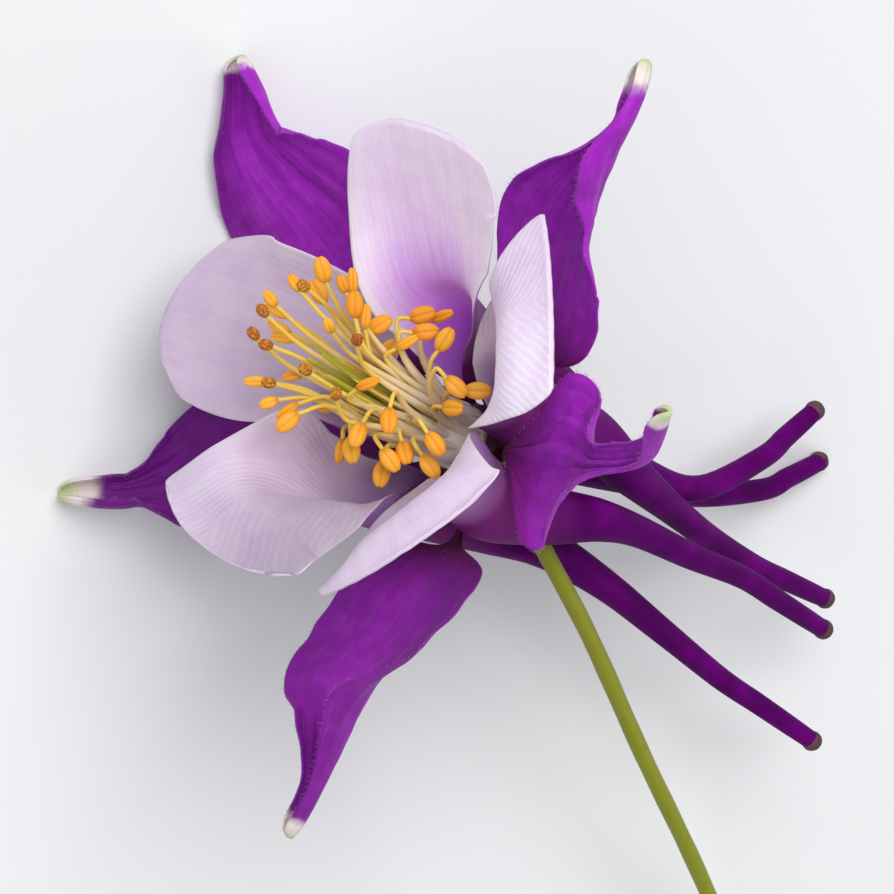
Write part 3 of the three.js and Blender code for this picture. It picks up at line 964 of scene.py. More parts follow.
@dataclass(frozen=True)
class SepalSkin(Skin):
    """Velvety violet, ribbed and net-veined, wine red at the claw, with a pale green tip.

    Attributes:
        cream: where the pale tip begins, in millimetres from the end.
        net: how dark the net of veins is.
        painted_shading: painted light and shade, how light it is made at the margin of lower azimuth, in the
            middle and at the other margin.
        vein_shade: how dark the long veins are.
        patches: how much of the light colour shows.
    """

    name: str = "sepal_skin"
    roughness: float = 0.68
    specular: float = 0.2
    glow: float = 0.12
    sheen: float = 0.12
    sheen_tint: Colour = (1.0, 0.4, 1.0)
    bump: float = 0.55
    relief: float = 0.1
    fine: float = 6000.0
    mottle: float = 600.0
    claw: Colour = (0.10, 0.003, 0.045)
    blade: Colour = (0.255, 0.010, 0.355)
    light: Colour = (0.38, 0.030, 0.50)
    vein: Colour = (0.085, 0.002, 0.11)
    pale: Colour = (0.74, 0.66, 0.62)
    tip: Colour = (0.52, 0.60, 0.30)
    cream: float = 3.0
    net: float = 0.2
    painted_shading: Point = (1.0, 1.0, 1.0)
    vein_shade: float = 0.22
    patches: float = 0.45

    def material(self, shared: Shared) -> bpy.types.Material:
        """Makes the finish.

        Args:
            shared: the node groups that it uses.

        Returns:
            The finished material.
        """
        draft = self.start(shared)
        tree = draft.tree
        across, along = tree.map("form")
        size_x, size_y = tree.map("size")
        vein = tree.group(shared.veins, Across=across, Along=along, Count=6.0, Wander=0.3, Width=0.16)
        net = tree.times(self.net_line(tree, size_x, size_y), self.net)
        base = tree.ramp(along, [(0.0, self.claw), (0.15, self.claw), (0.33, self.blade), (1.0, self.blade)])
        on_blade = tree.ease(along, 0.18, 0.35)
        patch = tree.times(tree.ease(draft.patch, 0.35, 0.75), self.patches)
        base = tree.mix(tree.times(patch, on_blade), base, self.light)
        lines = tree.math("MAXIMUM", net, tree.times(vein["Vein"], self.vein_shade))
        base = tree.mix(tree.times(lines, on_blade), base, self.vein)
        # painted light and shade: the sepal is made lighter or darker at each margin and in its middle
        low, middle, high = ((tone, tone, tone) for tone in self.painted_shading)
        tone = tree.mix(tree.ease(across, -0.9, -0.1), low, middle)
        tone = tree.mix(tree.ease(across, 0.1, 0.9), tone, high)
        base = tree.mix(1.0, base, tone, blend="MULTIPLY")
        from_end = tree.plus(size_y, tree.times(tree.minus(draft.patch, 0.5), 1.6))
        base = tree.mix(tree.ease(from_end, -self.cream, -0.6 * self.cream), base, self.pale)
        base = tree.mix(tree.ease(from_end, -0.5 * self.cream, -0.1 * self.cream), base, self.tip)
        height = tree.plus(tree.minus(vein["Rib"], net), tree.times(draft.cell, 0.3))
        return self.close(draft, base, height)

    def net_line(self, tree: Tree, x: Socket, y: Socket) -> Socket:
        """Draws the net of fine veins, in meshes that are longer than they are wide.

        Args:
            tree: the material's tree.
            x: millimetres across the sepal.
            y: millimetres along it.

        Returns:
            A mask that is 1 on a vein.
        """
        sway = tree.times(tree.minus(tree.noise(tree.vector(x, y), 0.45), 0.5), 5.0)
        place = tree.vector(tree.times(tree.plus(x, sway), 0.5), tree.times(y, 0.2))
        inputs = {"Vector": place, "Scale": 1.0}
        net = tree.node("ShaderNodeTexVoronoi", inputs, feature="DISTANCE_TO_EDGE")
        return tree.ease(net.outputs["Distance"], 0.07, 0.0)


@dataclass(frozen=True)
class ThreadSkin(Skin):
    """Threads and rods that change colour from their root to their end.

    Attributes:
        root: colour at the root.
        end: colour at the end.
        collar: colour of the first stretch, where it differs.
    """

    name: str = "thread"
    bump: float = 0.15
    relief: float = 0.03
    fine: float = 5000.0
    mottle: float = 600.0
    root: Colour = (0.86, 0.80, 0.71)
    end: Colour = (0.80, 0.54, 0.08)
    collar: Colour | None = None
    dim: float = 0.62  # how light the soft patches are, against the end
    patches: float = 0.2  # how much of them shows

    def material(self, shared: Shared) -> bpy.types.Material:
        """Makes the finish.

        Args:
            shared: the node groups that it uses.

        Returns:
            The finished material.
        """
        draft = self.start(shared)
        tree = draft.tree
        tone, along = tree.map("form")
        base = tree.mix(tree.ease(along, 0.15, 0.85), self.root, self.end)
        if self.collar:
            base = tree.mix(tree.ease(along, 0.045, 0.085), self.collar, base)
        dark = tuple(channel * self.dim for channel in self.end)
        base = tree.mix(tree.times(tree.ease(draft.patch, 0.4, 0.8), self.patches), base, dark)
        base = tree.mix(tree.times(tone, self.patches), base, dark)
        return self.close(draft, base, draft.patch)


@dataclass(frozen=True)
class AntherSkin(Skin):
    """An anther's wall, smooth while it is closed and granular with pollen when it has opened.

    Attributes:
        wall: colour of the darkest anthers.
        pale: colour of the palest.
        grain: how much of the dark crusted pollen shows.
        crust_and_shade: the colour of the crusted pollen, also laid at the foot as painted shade.
        groove: painted shade, a darker orange laid in the groove between the two lobes.
        foot_shade: how much painted shade, in that colour, darkens the foot, where the filament joins.
        groove_shade: how much of that painted shade shows in the groove.
    """

    name: str = "anther"
    glow: float = 0.2
    bump: float = 0.3
    relief: float = 0.06
    fine: float = 5200.0
    mottle: float = 1500.0
    wall: Colour = (0.80, 0.30, 0.012)
    pale: Colour = (0.88, 0.43, 0.035)
    grain: float = 0.0
    crust_and_shade: Colour = (0.27, 0.075, 0.010)
    groove: Colour = (0.50, 0.13, 0.006)
    foot_shade: float = 0.35
    groove_shade: float = 0.28

    def material(self, shared: Shared) -> bpy.types.Material:
        """Makes the finish.

        Args:
            shared: the node groups that it uses.

        Returns:
            The finished material.
        """
        draft = self.start(shared)
        tree = draft.tree
        tone, along = tree.map("form")
        base = tree.mix(tone, self.wall, self.pale)
        # painted shade: the foot, where the filament joins, is darkened towards the pollen's colour
        base = tree.mix(tree.times(tree.ease(along, 0.35, 0.0), self.foot_shade), base, self.crust_and_shade)
        aside = tree.math("ABSOLUTE", tree.map("size")[0])
        # painted shade: the groove between the two lobes is darkened
        base = tree.mix(tree.times(tree.ease(aside, 0.24, 0.03), self.groove_shade), base, self.groove)
        crumbs = tree.times(tree.ease(draft.patch, 0.36, 0.58), self.grain)
        base = tree.mix(crumbs, base, self.crust_and_shade)
        return self.close(draft, base, tree.plus(draft.patch, tree.times(draft.cell, self.grain)))


@dataclass(frozen=True)
class HairSkin(Skin):
    """Fine pale hairs, half as light at their roots."""

    name: str = "hair"
    roughness: float = 0.45
    colour: Colour = (0.52, 0.24, 0.62)

    def material(self, shared: Shared) -> bpy.types.Material:
        """Makes the finish.

        Args:
            shared: the node groups that it uses.

        Returns:
            The finished material.
        """
        draft = self.start(shared)
        along = draft.tree.map("form")[1]
        root = tuple(channel * 0.5 for channel in self.colour)
        base = draft.tree.mix(draft.tree.ease(along, 0.2, 1.0), root, self.colour)
        return self.close(draft, base, draft.patch)


# ---- petals -------------------------------------------------------------------------------------------

THROAT = Station(10.4, 0.0, math.pi * 3, curl=176.0)
SPUR_ROOT: Pair = (7.4, 0.0)
SPUR_RADII = (0.9, 1.05, 1.3, 1.8, 2.45)  # from the spur's end to its root
SPUR_END = ((0.0, 0.7), (0.12, 0.74), (0.3, 0.79), (0.6, 0.84))  # share of the last stretch, radius
KNOB_RADIUS = 1.02
KNOB_SEAT = 0.8  # how far the tube ends before the knob's far side


@dataclass
class Petal:
    """A petal: a blade that narrows to a cup, and the long hollow spur behind it.

    Attributes:
        number: the petal's number, as in the name of its solid.
        azimuth: where it stands round the axis.
        spur: centre points (out, up, side) from its root to its end.
        blade: stations from the throat to the tip.
        tip: share of the width left at the tip, for both halves or for each.
        crown: how far the middle of the tip reaches past its corners.
        skin: the finish of its inner face.
        waves: how far its margins wave.
        swell: height of the blade's broad swellings.
        rib: height of its fine ribs.
        rounding: spans over which the tip narrows.
        columns: faces across.
        rows: faces along a span of the spur's end, the spur, the funnel, the cup and the blade.
        thickness: full thickness, away from the margins.
    """

    number: int
    azimuth: float
    spur: Sequence[Point]
    blade: Sequence[Station]
    tip: float | Pair
    crown: float
    skin: PetalSkin
    waves: float = 0.3
    swell: float = 0.3
    rib: float = 0.018
    rounding: float = 1.2
    columns: int = 64
    rows: tuple[int, int, int, int, int] = (4, 7, 8, 10, 12)
    thickness: float = 0.34

    def spur_stations(self) -> list[Station]:
        """Works out the tube, whose outer wall is the mid-line.

        Returns:
            Its stations from its end to its root.
        """
        points = [Vector(centre) for centre in self.spur]
        end = points.pop()
        end += (points[-1] - end).normalized() * KNOB_SEAT
        tips = [end.lerp(points[-1], share) for share, _ in SPUR_END]
        chain = [*tips, *reversed(points), Vector((*SPUR_ROOT, 0.0))]
        radii = [*(radius for _, radius in SPUR_END), *SPUR_RADII]
        stations = []
        for k, radius in enumerate(radii):
            along = (chain[k + 1] - chain[max(k - 1, 0)]).normalized()
            stations.append(Station(
                out=chain[k].x + radius * along.y,
                up=chain[k].y - radius * along.x,
                side=chain[k].z,
                half=math.pi * radius,
                curl=180.0,
            ))
        return stations

    def knob(self, weave: Weave) -> None:
        """Adds the swollen end of the spur, where the nectar gathers.

        Args:
            weave: the mesh to add it to.
        """
        last, before = Vector(self.spur[-1]), Vector(self.spur[-2])
        middle = last + (before - last).normalized() * KNOB_RADIUS

        def shape(ball: Vector) -> Vector:
            """Gives a vertex's point.

            Args:
                ball: its place on a ball of radius 1.

            Returns:
                The point in the bloom's frame.
            """
            dent = 0.05 * noise.noise(ball * 2.2 + Vector((self.number * 3.0, 0.0, 0.0)))
            place = middle + Vector((ball.x, ball.z, ball.y)) * KNOB_RADIUS * (1 - 0.03 + dent)
            return bloom_point(self.azimuth, *place)

        weave.body(shape, self.number / 5, (24, 16))

    def relief(self, v: float, share: float, length: float) -> float:
        """Works out how far the blade stands off its middle surface.

        Args:
            v: place across, from -1 to 1.
            share: place along the blade, from 0 at the throat to 1 at the tip.
            length: millimetres from the spur's end.

        Returns:
            The height of its swellings, ribs and waved margins.
        """
        broad = noise.noise(Vector((v * 1.6, share * 3.0, self.number * 7.3)))
        ribs = math.cos(v * math.pi * 9 + 0.9 * noise.noise(Vector((v * 3, share * 2, 4.0))))
        ripple = noise.noise(Vector((length * 0.28, math.copysign(3.0, v), self.number)))
        on_blade = smoothstep(share, 0.05, 0.5)
        return on_blade * (self.swell * broad + self.rib * ribs + self.waves * ripple * abs(v) ** 5)

    def build(self, inner: bpy.types.Material, outer: bpy.types.Material) -> bpy.types.Object:
        """Builds the petal.

        Args:
            inner: the finish of its inner face.
            outer: the finish of its outer face and its spur.

        Returns:
            The finished piece.
        """
        tube = self.spur_stations()
        stations = [*tube, THROAT, *self.blade]
        spans = len(stations) - 1
        throat = len(tube) / spans

        def end_width(t: float) -> Vector:
            """Returns the share of each half's width at time t."""
            share = max(0.0, min(1.0, (t * spans - (spans - self.rounding)) / self.rounding))
            return Vector([lerp(tip, 1.0, math.sqrt(1 - share**3)) for tip in both(self.tip)])

        end, spur, funnel, cup, blade = self.rows
        in_spur = [end] * (len(SPUR_END) - 1) + [spur] * len(SPUR_RADII)
        in_blade = [blade] * (len(self.blade) - 1)
        sheet = Sheet(self.azimuth, stations, end_width)
        times, sections, lengths = sheet.sweep([*in_spur, funnel, cup, *in_blade])
        spur_length = lengths[min(range(len(times)), key=lambda i: abs(times[i] - throat))]
        blade_length = lengths[-1] - spur_length

        def progress(row: int) -> float:
            """Returns the place along: -1 at the spur's end, 0 at the throat and 1 at the tip."""
            length = lengths[row] - spur_length
            return length / (spur_length if length < 0 else blade_length)

        def place(v: float, row: int) -> Vector:
            """Gives a vertex's point.

            Args:
                v: place across, from -1 to 1.
                row: place along.

            Returns:
                The point in the bloom's frame.
            """
            section = sections[row]
            point = section.point(v, self.relief(v, max(0.0, progress(row)), lengths[row]))
            bow = self.crown * smoothstep(times[row] * spans, spans - 1.4, spans) * (1 - v * v)
            return point + section.along * bow

        def thickness(v: float, row: int) -> float:
            """Returns the share of the full thickness, less along the blade's margins."""
            return 1.0 - 0.6 * smoothstep(abs(v), 0.8, 1.0) * smoothstep(progress(row), 0.0, 0.3)

        weave = Weave()
        weave.grid(
            self.columns, len(times) - 1, place,
            form=lambda v, row: (v, progress(row)),
            thickness=thickness,
        )
        name = f"petal_{self.number}"
        piece = weave.finish(f"{name}_fine", [outer, inner], "petal", name, sheet=self.thickness)
        piece.modifiers["thickness"].material_offset = 1
        return piece


def make_petals() -> list[Petal]:
    """Lists the petals.

    Returns:
        The five petals, in the order of their numbers.
    """
    return [
        Petal(
            number=1,
            azimuth=10,
            spur=[
                (7, -8, 0), (3.9, -16.2, 0.1), (2.6, -23.4, 0),
                (3.3, -30.3, -0.2), (8, -37, -0.8), (14.7, -43, -1.2),
            ],
            blade=[
                Station(11.8, 4.9, (7.6, 7.9), side=-0.5, curl=(113, 110)),
                Station(13.1, 7.9, (8.2, 7.9), side=-0.1, curl=(29, 64), fold=(-3, 0)),
                Station(18, 10.7, (10, 8.2), side=0.4, curl=(18, 26)),
                Station(22.7, 15, (10.6, 7.3), side=-0.5, curl=(17, 8), fold=(0, -2)),
            ],
            tip=0.82,
            crown=1.6,
            waves=0.1,
            skin=PetalSkin("petal_1_skin", painted_shading=(1.0, 0.93), reach=0.84, lean=0.16, fade=0.4),
        ),
        Petal(
            number=2,
            azimuth=84,
            spur=[
                (7.1, -8, 0), (5.4, -18, -0.8), (5.3, -27, -1.4),
                (6.1, -36, -2.1), (6.6, -44.5, -4.7), (7.6, -52, -9.7),
            ],
            blade=[
                Station(11.2, 5, (7.7, 7.2), curl=(108, 112)),
                Station(12.7, 8.4, (9, 6.6), side=-0.8, curl=(43, 63)),
                Station(16.9, 12.4, (10.4, 6.6), side=0.7, curl=28),
                Station(20.6, 16.1, (9.2, 6.4), side=1.4, curl=(3, 15)),
            ],
            tip=0.86,
            crown=3.1,
            skin=PetalSkin("petal_2_skin", painted_shading=(0.6, 0.6), reach=0.5, strength=0.55),
        ),
        Petal(
            number=3,
            azimuth=154,
            spur=[
                (6.9, -8, 0.6), (6.4, -14, 2), (7.2, -22, 3.6),
                (9.1, -31, 5.1), (10.9, -39.5, 6.8), (12.4, -53, 10.8),
            ],
            blade=[
                Station(10.8, 5, (6.4, 6.5), curl=(117, 122)),
                Station(10.8, 8.1, (6.9, 6.8), curl=72, fold=(4, 14), flare=(0, -0.6)),
                Station(11.1, 12.5, (7.2, 8.9), side=-0.2, curl=(55, 13), fold=(8, 34), flare=(-1, 2)),
                Station(11.9, 17, (6.2, 10), side=0.3, curl=(22, 14), fold=(-2, 6), flare=(0.1, 1.5)),
                Station(14.9, 18.8, (9.7, 12.7), side=1.3, curl=(-12, 24), fold=(0, -9), flare=(0, -0.8)),
            ],
            tip=0.8,
            crown=2.3,
            skin=PetalSkin(
                "petal_3_skin", painted_shading=(0.75, 0.5), reach=0.45, strength=0.3, veins=12.0, fan=1.2, bump=0.9
            ),
        ),
        Petal(
            number=4,
            azimuth=232,
            spur=[
                (7, -6.5, 0.6), (7, -11.5, 2), (6.9, -16.5, 2.3),
                (6.8, -25, 1.6), (6.4, -33, 1), (6.8, -48.5, -1.5),
            ],
            blade=[
                Station(10.3, 4.4, (7.1, 7), side=0.7, curl=(119, 112), fold=(4, -2), flare=(-0.5, 0.2)),
                Station(10.6, 9.8, (6.2, 7), side=0.9, curl=(47, 42), flare=0.2),
                Station(13.7, 15.2, (9.3, 9.7), side=0.7, curl=(6, 8), fold=(3, -3), flare=(2, 2.1)),
                Station(16.3, 15.8, (10.5, 11.3), side=0.4, curl=(-5, 4), fold=(2, -11), flare=(0, -0.7)),
            ],
            tip=(0.84, 0.74),
            crown=1.3,
            skin=PetalSkin("petal_4_skin", painted_shading=(0.8, 0.8), reach=0.35, strength=0.5, fan=1.0),
        ),
        Petal(
            number=5,
            azimuth=303,
            spur=[
                (6.9, -8, 0.2), (5, -15.7, -0.7), (2.8, -23.6, -1.1),
                (0.7, -31.7, -1.4), (-0.7, -40, -1.7), (-1.4, -52.5, -2.1),
            ],
            blade=[
                Station(11.2, 4.9, 6.8, side=0.4, curl=(113, 120)),
                Station(12.8, 9, (7.2, 6.9), side=0.7, curl=(52, 27), fold=(1, -6), flare=(0, 0.9)),
                Station(17.4, 14.3, (8.6, 3.9), side=0.7, curl=(7, 18), fold=4, flare=(1.5, 0)),
                Station(22.4, 15, 8.7, side=0.6, curl=-10, fold=(2, -2), flare=(0.2, 0)),
            ],
            tip=0.89,
            crown=1.2,
            skin=PetalSkin("petal_5_skin", painted_shading=(1.05, 0.8), reach=0.5, veins=9.0, fan=3.0, bump=0.9),
        ),
    ]


# ---- sepals -------------------------------------------------------------------------------------------

CLAW = (
    Station(4.1, -1.7, 0.75),
    Station(8.9, -0.9, 0.75),
)


@dataclass
class Sepal:
    """A sepal: a narrow claw, a folded blade and a rolled finger tip, with hairy margins.

    Attributes:
        number: the sepal's number, as in the name of its solid.
        azimuth: where it stands round the axis.
        blade: stations from the claw's end to the tip.
        claw: stations of the narrow claw.
        columns: faces across.
        rows: faces along the claw, the span after it and each span of the blade.
        thickness: full thickness, away from the margins.
        rounding: how much of the last span the tip's rounding takes.
        hairs: hairs along each margin.
        hair_span: the shares of its length between which they stand.
        hair_lengths: length of the shortest and of the longest.
        hair_radii: radius at a hair's root and at its end.
        cream: length of the pale tip.
        net: how dark its net of veins is.
        painted_shading: painted light and shade, how light it is made at one margin, in the middle and at
            the other.
        crest: height of the fold along its middle.
        swell: height of its broad swellings.
        rib: height of its ribs.
        crinkle: height of its fine wrinkles.
        ripple: how far its margins wave.
    """

    number: int
    azimuth: float
    blade: Sequence[Station]
    claw: Sequence[Station] = CLAW
    columns: int = 56
    rows: tuple[int, int, int] = (6, 12, 18)
    thickness: float = 0.36
    rounding: float = 0.45
    hairs: int = 130
    hair_span: Pair = (0.12, 0.97)
    hair_lengths: Pair = (0.15, 0.5)
    hair_radii: Pair = (0.024, 0.006)
    cream: float = 3.0
    net: float = 0.2
    painted_shading: Point = (1.0, 1.0, 1.0)
    crest: float = 0.1
    swell: float = 0.35
    rib: float = 0.07
    crinkle: float = 0.09
    ripple: float = 0.45

    def sheet(self) -> Sheet:
        """Works out the middle surface.

        Returns:
            The sheet to sweep.
        """
        stations = [*self.claw, *self.blade]
        spans = len(stations) - 1

        def end_width(t: float) -> Vector:
            """Narrows the tip to a round end.

            Args:
                t: time along the sheet.

            Returns:
                The share of each half's width.
            """
            share = max(0.0, t * spans - (spans - self.rounding)) / self.rounding
            kept = math.sqrt(max(0.0, 1 - share * share))
            return Vector((kept, kept))

        return Sheet(self.azimuth, stations, end_width)

    def relief(self, v: float, t: float, length: float) -> float:
        """Works out how far the surface stands off its middle.

        Args:
            v: place across, from -1 to 1.
            t: time along, from 0 at the root to 1 at the tip.
            length: millimetres from the root.

        Returns:
            The height of its swellings, fold, ribs, wrinkles and waved margins.
        """
        broad = noise.noise(Vector((v * 1.8, length * 0.12, self.number * 5.1)))
        ribs = math.cos(v * math.pi * 6 + 1.5 * noise.noise(Vector((v * 2, length * 0.15, 2.0))))
        crinkle = noise.noise(Vector((v * 7, length * 0.7, self.number + 0.5)))
        ripple = noise.noise(Vector((length * 0.35, math.copysign(3.0, v), self.number)))
        on_blade = smoothstep(t, 0.18, 0.4) * smoothstep(1 - t, 0.02, 0.3)
        crest = self.crest * math.exp(-((v / 0.09) ** 2))
        margin = self.ripple * ripple * abs(v) ** 4
        return on_blade * (self.swell * broad + crest + self.rib * ribs + self.crinkle * crinkle + margin)

    def build(self, material: bpy.types.Material, hair: bpy.types.Material) -> None:
        """Builds the sepal and its hairs.

        Args:
            material: the skin's finish.
            hair: the hairs' finish.
        """
        claw, after_claw, blade = self.rows
        times, sections, lengths = self.sheet().sweep([claw, after_claw] + [blade] * (len(self.blade) - 1))

        def place(v: float, row: int) -> Vector:
            """Returns a vertex's point from its place across and its row."""
            return sections[row].point(v, self.relief(v, times[row], lengths[row]))

        weave = Weave()
        weave.grid(
            self.columns, len(times) - 1, place,
            form=lambda v, row: (v, lengths[row] / lengths[-1]),
            size=lambda v, row: (sections[row].half[0 if v < 0 else 1] * v, lengths[row] - lengths[-1]),
            thickness=lambda v, row: 1.0 - 0.5 * smoothstep(abs(v), 0.8, 1.0),
        )
        name = f"sepal_{self.number}"
        weave.finish(f"{name}_fine", [material], "sepal", name, sheet=self.thickness)
        fringe = Weave()
        self.add_hairs(fringe, sections, place)
        fringe.finish(f"{name}_hairs", [hair], "sepal")

    def add_hairs(
        self, fringe: Weave, sections: Sequence[Section], place: Callable[[float, int], Vector]
    ) -> None:
        """Adds the fine hairs along both margins.

        Args:
            fringe: the mesh to add them to.
            sections: the sepal's rows.
            place: gives a point of the sepal from its place across and its row.
        """
        draws = random.Random(100 + self.number)
        last = len(sections) - 1
        for sign in (-1, 1):
            for n in range(self.hairs):
                row = lerp(*self.hair_span, (n + draws.random()) / self.hairs) * last
                low = int(row)
                root = place(sign, low).lerp(place(sign, min(low + 1, last)), row - low)
                section = sections[low]
                outward = (section.point(sign, 0.0) - section.point(sign * 0.9, 0.0)).normalized()
                lean = Vector([draws.uniform(-0.5, 0.5) for _ in range(3)])
                length = draws.uniform(*self.hair_lengths)
                start = root - outward * 0.05
                bend = root + (outward + lean).normalized() * length * 0.5
                end = bend + (outward * 0.6 + lean * 1.4 + section.along * 0.5).normalized() * length * 0.5
                fringe.rod(Spline([start, bend, end]), lambda t: lerp(*self.hair_radii, t), 3, 3)


def make_sepals() -> list[Sepal]:
    """Lists the sepals.

    Returns:
        The five sepals, in the order of their numbers.
    """
    return [
        Sepal(
            number=1,
            azimuth=-23.5,
            cream=3.6,
            net=0.18,
            painted_shading=(1.25, 1.05, 1.25),
            blade=[
                Station(12.5, 0.7, (7.1, 4.7), side=0.4, curl=(4, 11), fold=(2, 6), flare=(0.4, 0)),
                Station(18.3, 2.4, (8.5, 7.7), side=2, curl=7, fold=9, flare=(0.2, 0.1)),
                Station(24, 4, 4.8, side=2.1, curl=(34, 61), fold=10, flare=(-0.6, 0)),
                Station(29.9, 6.6, (4.7, 1.2), side=0.7, curl=(100, 113), fold=(-4, 0), flare=(-1.8, 0)),
                Station(33.3, 7.8, (3.2, 1.8), side=-0.2, curl=(127, 133), flare=(0, 0.2)),
                Station(36.8, 7.6, (3.2, 1.7), side=2, curl=(137, 139)),
            ],
        ),
        Sepal(
            number=2,
            azimuth=47,
            cream=1.6,
            net=0.15,
            painted_shading=(1.3, 1.2, 0.66),
            crest=0.3,
            blade=[
                Station(14.3, 0.6, 6, side=3, curl=10, fold=10),
                Station(23.7, 4.6, (7.7, 8.7), side=3.5, curl=8, fold=16),
                Station(29.9, 7.9, (6.5, 7.4), side=4.8, curl=(31, 19), fold=12),
                Station(33.6, 11.2, (5.3, 4.9), side=4.9, curl=(72, 90), fold=(2, 6)),
                Station(36.1, 14, (4.6, 2.9), side=2.4, curl=(111, 117), fold=(-3, 0)),
                Station(38.5, 15.3, (3.3, 2.3), side=1.1, curl=138),
            ],
        ),
        Sepal(
            number=3,
            azimuth=119,
            cream=4.6,
            net=0.15,
            painted_shading=(0.6, 0.6, 0.6),
            blade=[
                Station(14, 0.6, 6, side=-2.2, curl=12, fold=6),
                Station(22.2, 5.3, (6, 7), side=-3.6, curl=12, fold=8),
                Station(28.4, 7.4, (4.6, 6.5), side=-1.7, curl=(51, 42)),
                Station(31.6, 10.2, (2.4, 3.1), side=-0.7, curl=102),
                Station(33, 12, (2.8, 3.3), side=-0.3, curl=124),
                Station(37, 14.7, (2.2, 2.7), side=-0.8, curl=139),
            ],
        ),
        Sepal(
            number=4,
            azimuth=193,
            cream=2.4,
            net=0.15,
            painted_shading=(0.75, 1.05, 0.68),
            blade=[
                Station(11.6, 1.3, (4.9, 7.2), side=-0.4, curl=(18, 5), fold=(7, 2), flare=(-0.4, 0.2)),
                Station(18.8, 3.6, 7.6, side=-1, curl=15, fold=(8, 10)),
                Station(22.9, 6, (7.1, 6.3), side=-1.4, curl=(29, 34), fold=(5, 9), flare=(0.3, 0)),
                Station(26.9, 7.1, (4.7, 6.8), side=-1, curl=(84, 98), fold=(1, 2), flare=(0, -1.2)),
                Station(32.6, 8.9, (2, 3.2), side=-0.5, curl=122),
                Station(37, 9.3, (1.8, 2.8), side=-2.4, curl=140),
            ],
        ),
        Sepal(
            number=5,
            azimuth=267.5,
            cream=2.6,
            net=0.3,
            painted_shading=(1.3, 1.15, 1.15),
            crest=0.5,
            blade=[
                Station(8.5, 3, 0.9, side=0.6),
                Station(11.4, 3.4, (7.2, 3.3), side=1.3, curl=(3, 9), fold=(-9, 2), flare=(0.4, 0)),
                Station(14.6, 3.9, (7.6, 6.9), side=2, curl=(3, 7), fold=(-10, 1), flare=(0.2, 0)),
                Station(17.8, 4.3, (4.2, 5.4), side=2.3, curl=(12, -3), fold=3, flare=(0.2, 0.5)),
                Station(21.9, 6, (1.9, 2.1), side=2.6, curl=63, fold=6),
                Station(29.4, 8.4, (1.5, 1.7), side=5.1, curl=(90, 95)),
                Station(35.5, 14.5, (2.4, 2), side=8.9, curl=(130, 136)),
            ],
            claw=(Station(4.4, -1.8, 0.75), Station(6.3, 1.4, 0.5, side=0.3)),
        ),
    ]


# ---- stamens and pistils ------------------------------------------------------------------------------

BUNCH_LEAN: Pair = (55.0, 4.2)  # azimuth, and how far the bunch leans over at 20 mm up


def bunch_point(azimuth: float, out: float, up: float) -> Vector:
    """Returns a point of the bunch, which leans over more and more towards its top."""
    lean = BUNCH_LEAN[1] * (up / 20) ** 2
    return bloom_point(azimuth, out, up) + bloom_point(BUNCH_LEAN[0], lean, 0)


class Ripeness(Enum):
    """How far an anther has got: its length, width and depth, in millimetres."""

    CLOSED = (2.5, 1.55, 1.15)
    SLIM = (2.4, 1.0, 0.9)
    RIPE = (1.8, 1.05, 0.95)
    OPEN = (1.45, 1.0, 0.9)


@dataclass(frozen=True)
class Stamen:
    """A stamen, placed by where its anther shows.

    Attributes:
        x: the anther's middle, in pixels from the view's left side.
        y: the same, from its top.
        up: its height along the bloom's axis.
        angle: the way it points on the view, anticlockwise from the right.
        toward: degrees by which it points towards the camera.
        ripeness: its state, which gives its size.
    """

    x: float
    y: float
    up: float
    angle: float
    toward: float = 0.0
    ripeness: Ripeness = Ripeness.CLOSED


@dataclass
class Anther:
    """An anther: two lobes with a groove between them.

    Attributes:
        middle: its middle in the bloom's frame.
        pointing: the way from its foot to its tip.
        ripeness: its state, which gives its size.
        tone: a number from 0 to 1, for small differences.
        groove: depth of the groove on either face, as a share of the half width.
        seam: depth of the seam along either side.
        notch: depth of the notch at either end.
        crumbs: height of the pollen on an opened one.
        taper: how much it narrows at the ends.
        detail: faces round it and along it.
    """

    middle: Vector
    pointing: Vector
    ripeness: Ripeness
    tone: float
    groove: float = 0.26
    seam: float = 0.07
    notch: float = 0.1
    crumbs: float = 0.13
    taper: float = 0.16
    detail: tuple[int, int] = (36, 16)

    def foot(self) -> Vector:
        """Returns the point where the filament joins it."""
        return self.middle - self.pointing * self.ripeness.value[0] * 0.42

    def add(self, weave: Weave) -> None:
        """Adds the anther.

        Args:
            weave: the mesh to add it to.
        """
        length, width, depth = self.ripeness.value
        sideways = self.pointing.cross(VIEW.direction(0, 90)).normalized()
        if sideways.length < 0.5:
            sideways = self.pointing.orthogonal().normalized()
        facing = sideways.cross(self.pointing)
        opened = self.ripeness in (Ripeness.OPEN, Ripeness.RIPE)

        def shape(ball: Vector) -> Vector:
            """Gives a vertex's point.

            Args:
                ball: its place on a ball of radius 1.

            Returns:
                The point in the bloom's frame.
            """
            ring = math.atan2(ball.y, ball.x)
            groove = self.groove * math.exp(-((abs(abs(ring) - math.pi / 2) / 0.22) ** 2))
            seam = self.seam * math.exp(-((min(abs(ring), math.pi - abs(ring)) / 0.16) ** 2))
            notch = self.notch * math.exp(-((ball.x / 0.25) ** 2)) * abs(ball.z) ** 6
            grains = 0.0
            if opened:
                grains = self.crumbs * noise.noise(ball * 6.5 + Vector((self.tone * 40, 0, 0)))
            swell = (1 - groove - seam + grains) * (1 - abs(ball.z) ** 3 * self.taper)
            return (
                self.middle
                + sideways * ball.x * width / 2 * swell
                + facing * ball.y * depth / 2 * swell
                + self.pointing * ball.z * length / 2 * (1 - notch)
            )

        weave.body(shape, self.tone, self.detail, material=2 if self.ripeness is Ripeness.OPEN else 1)


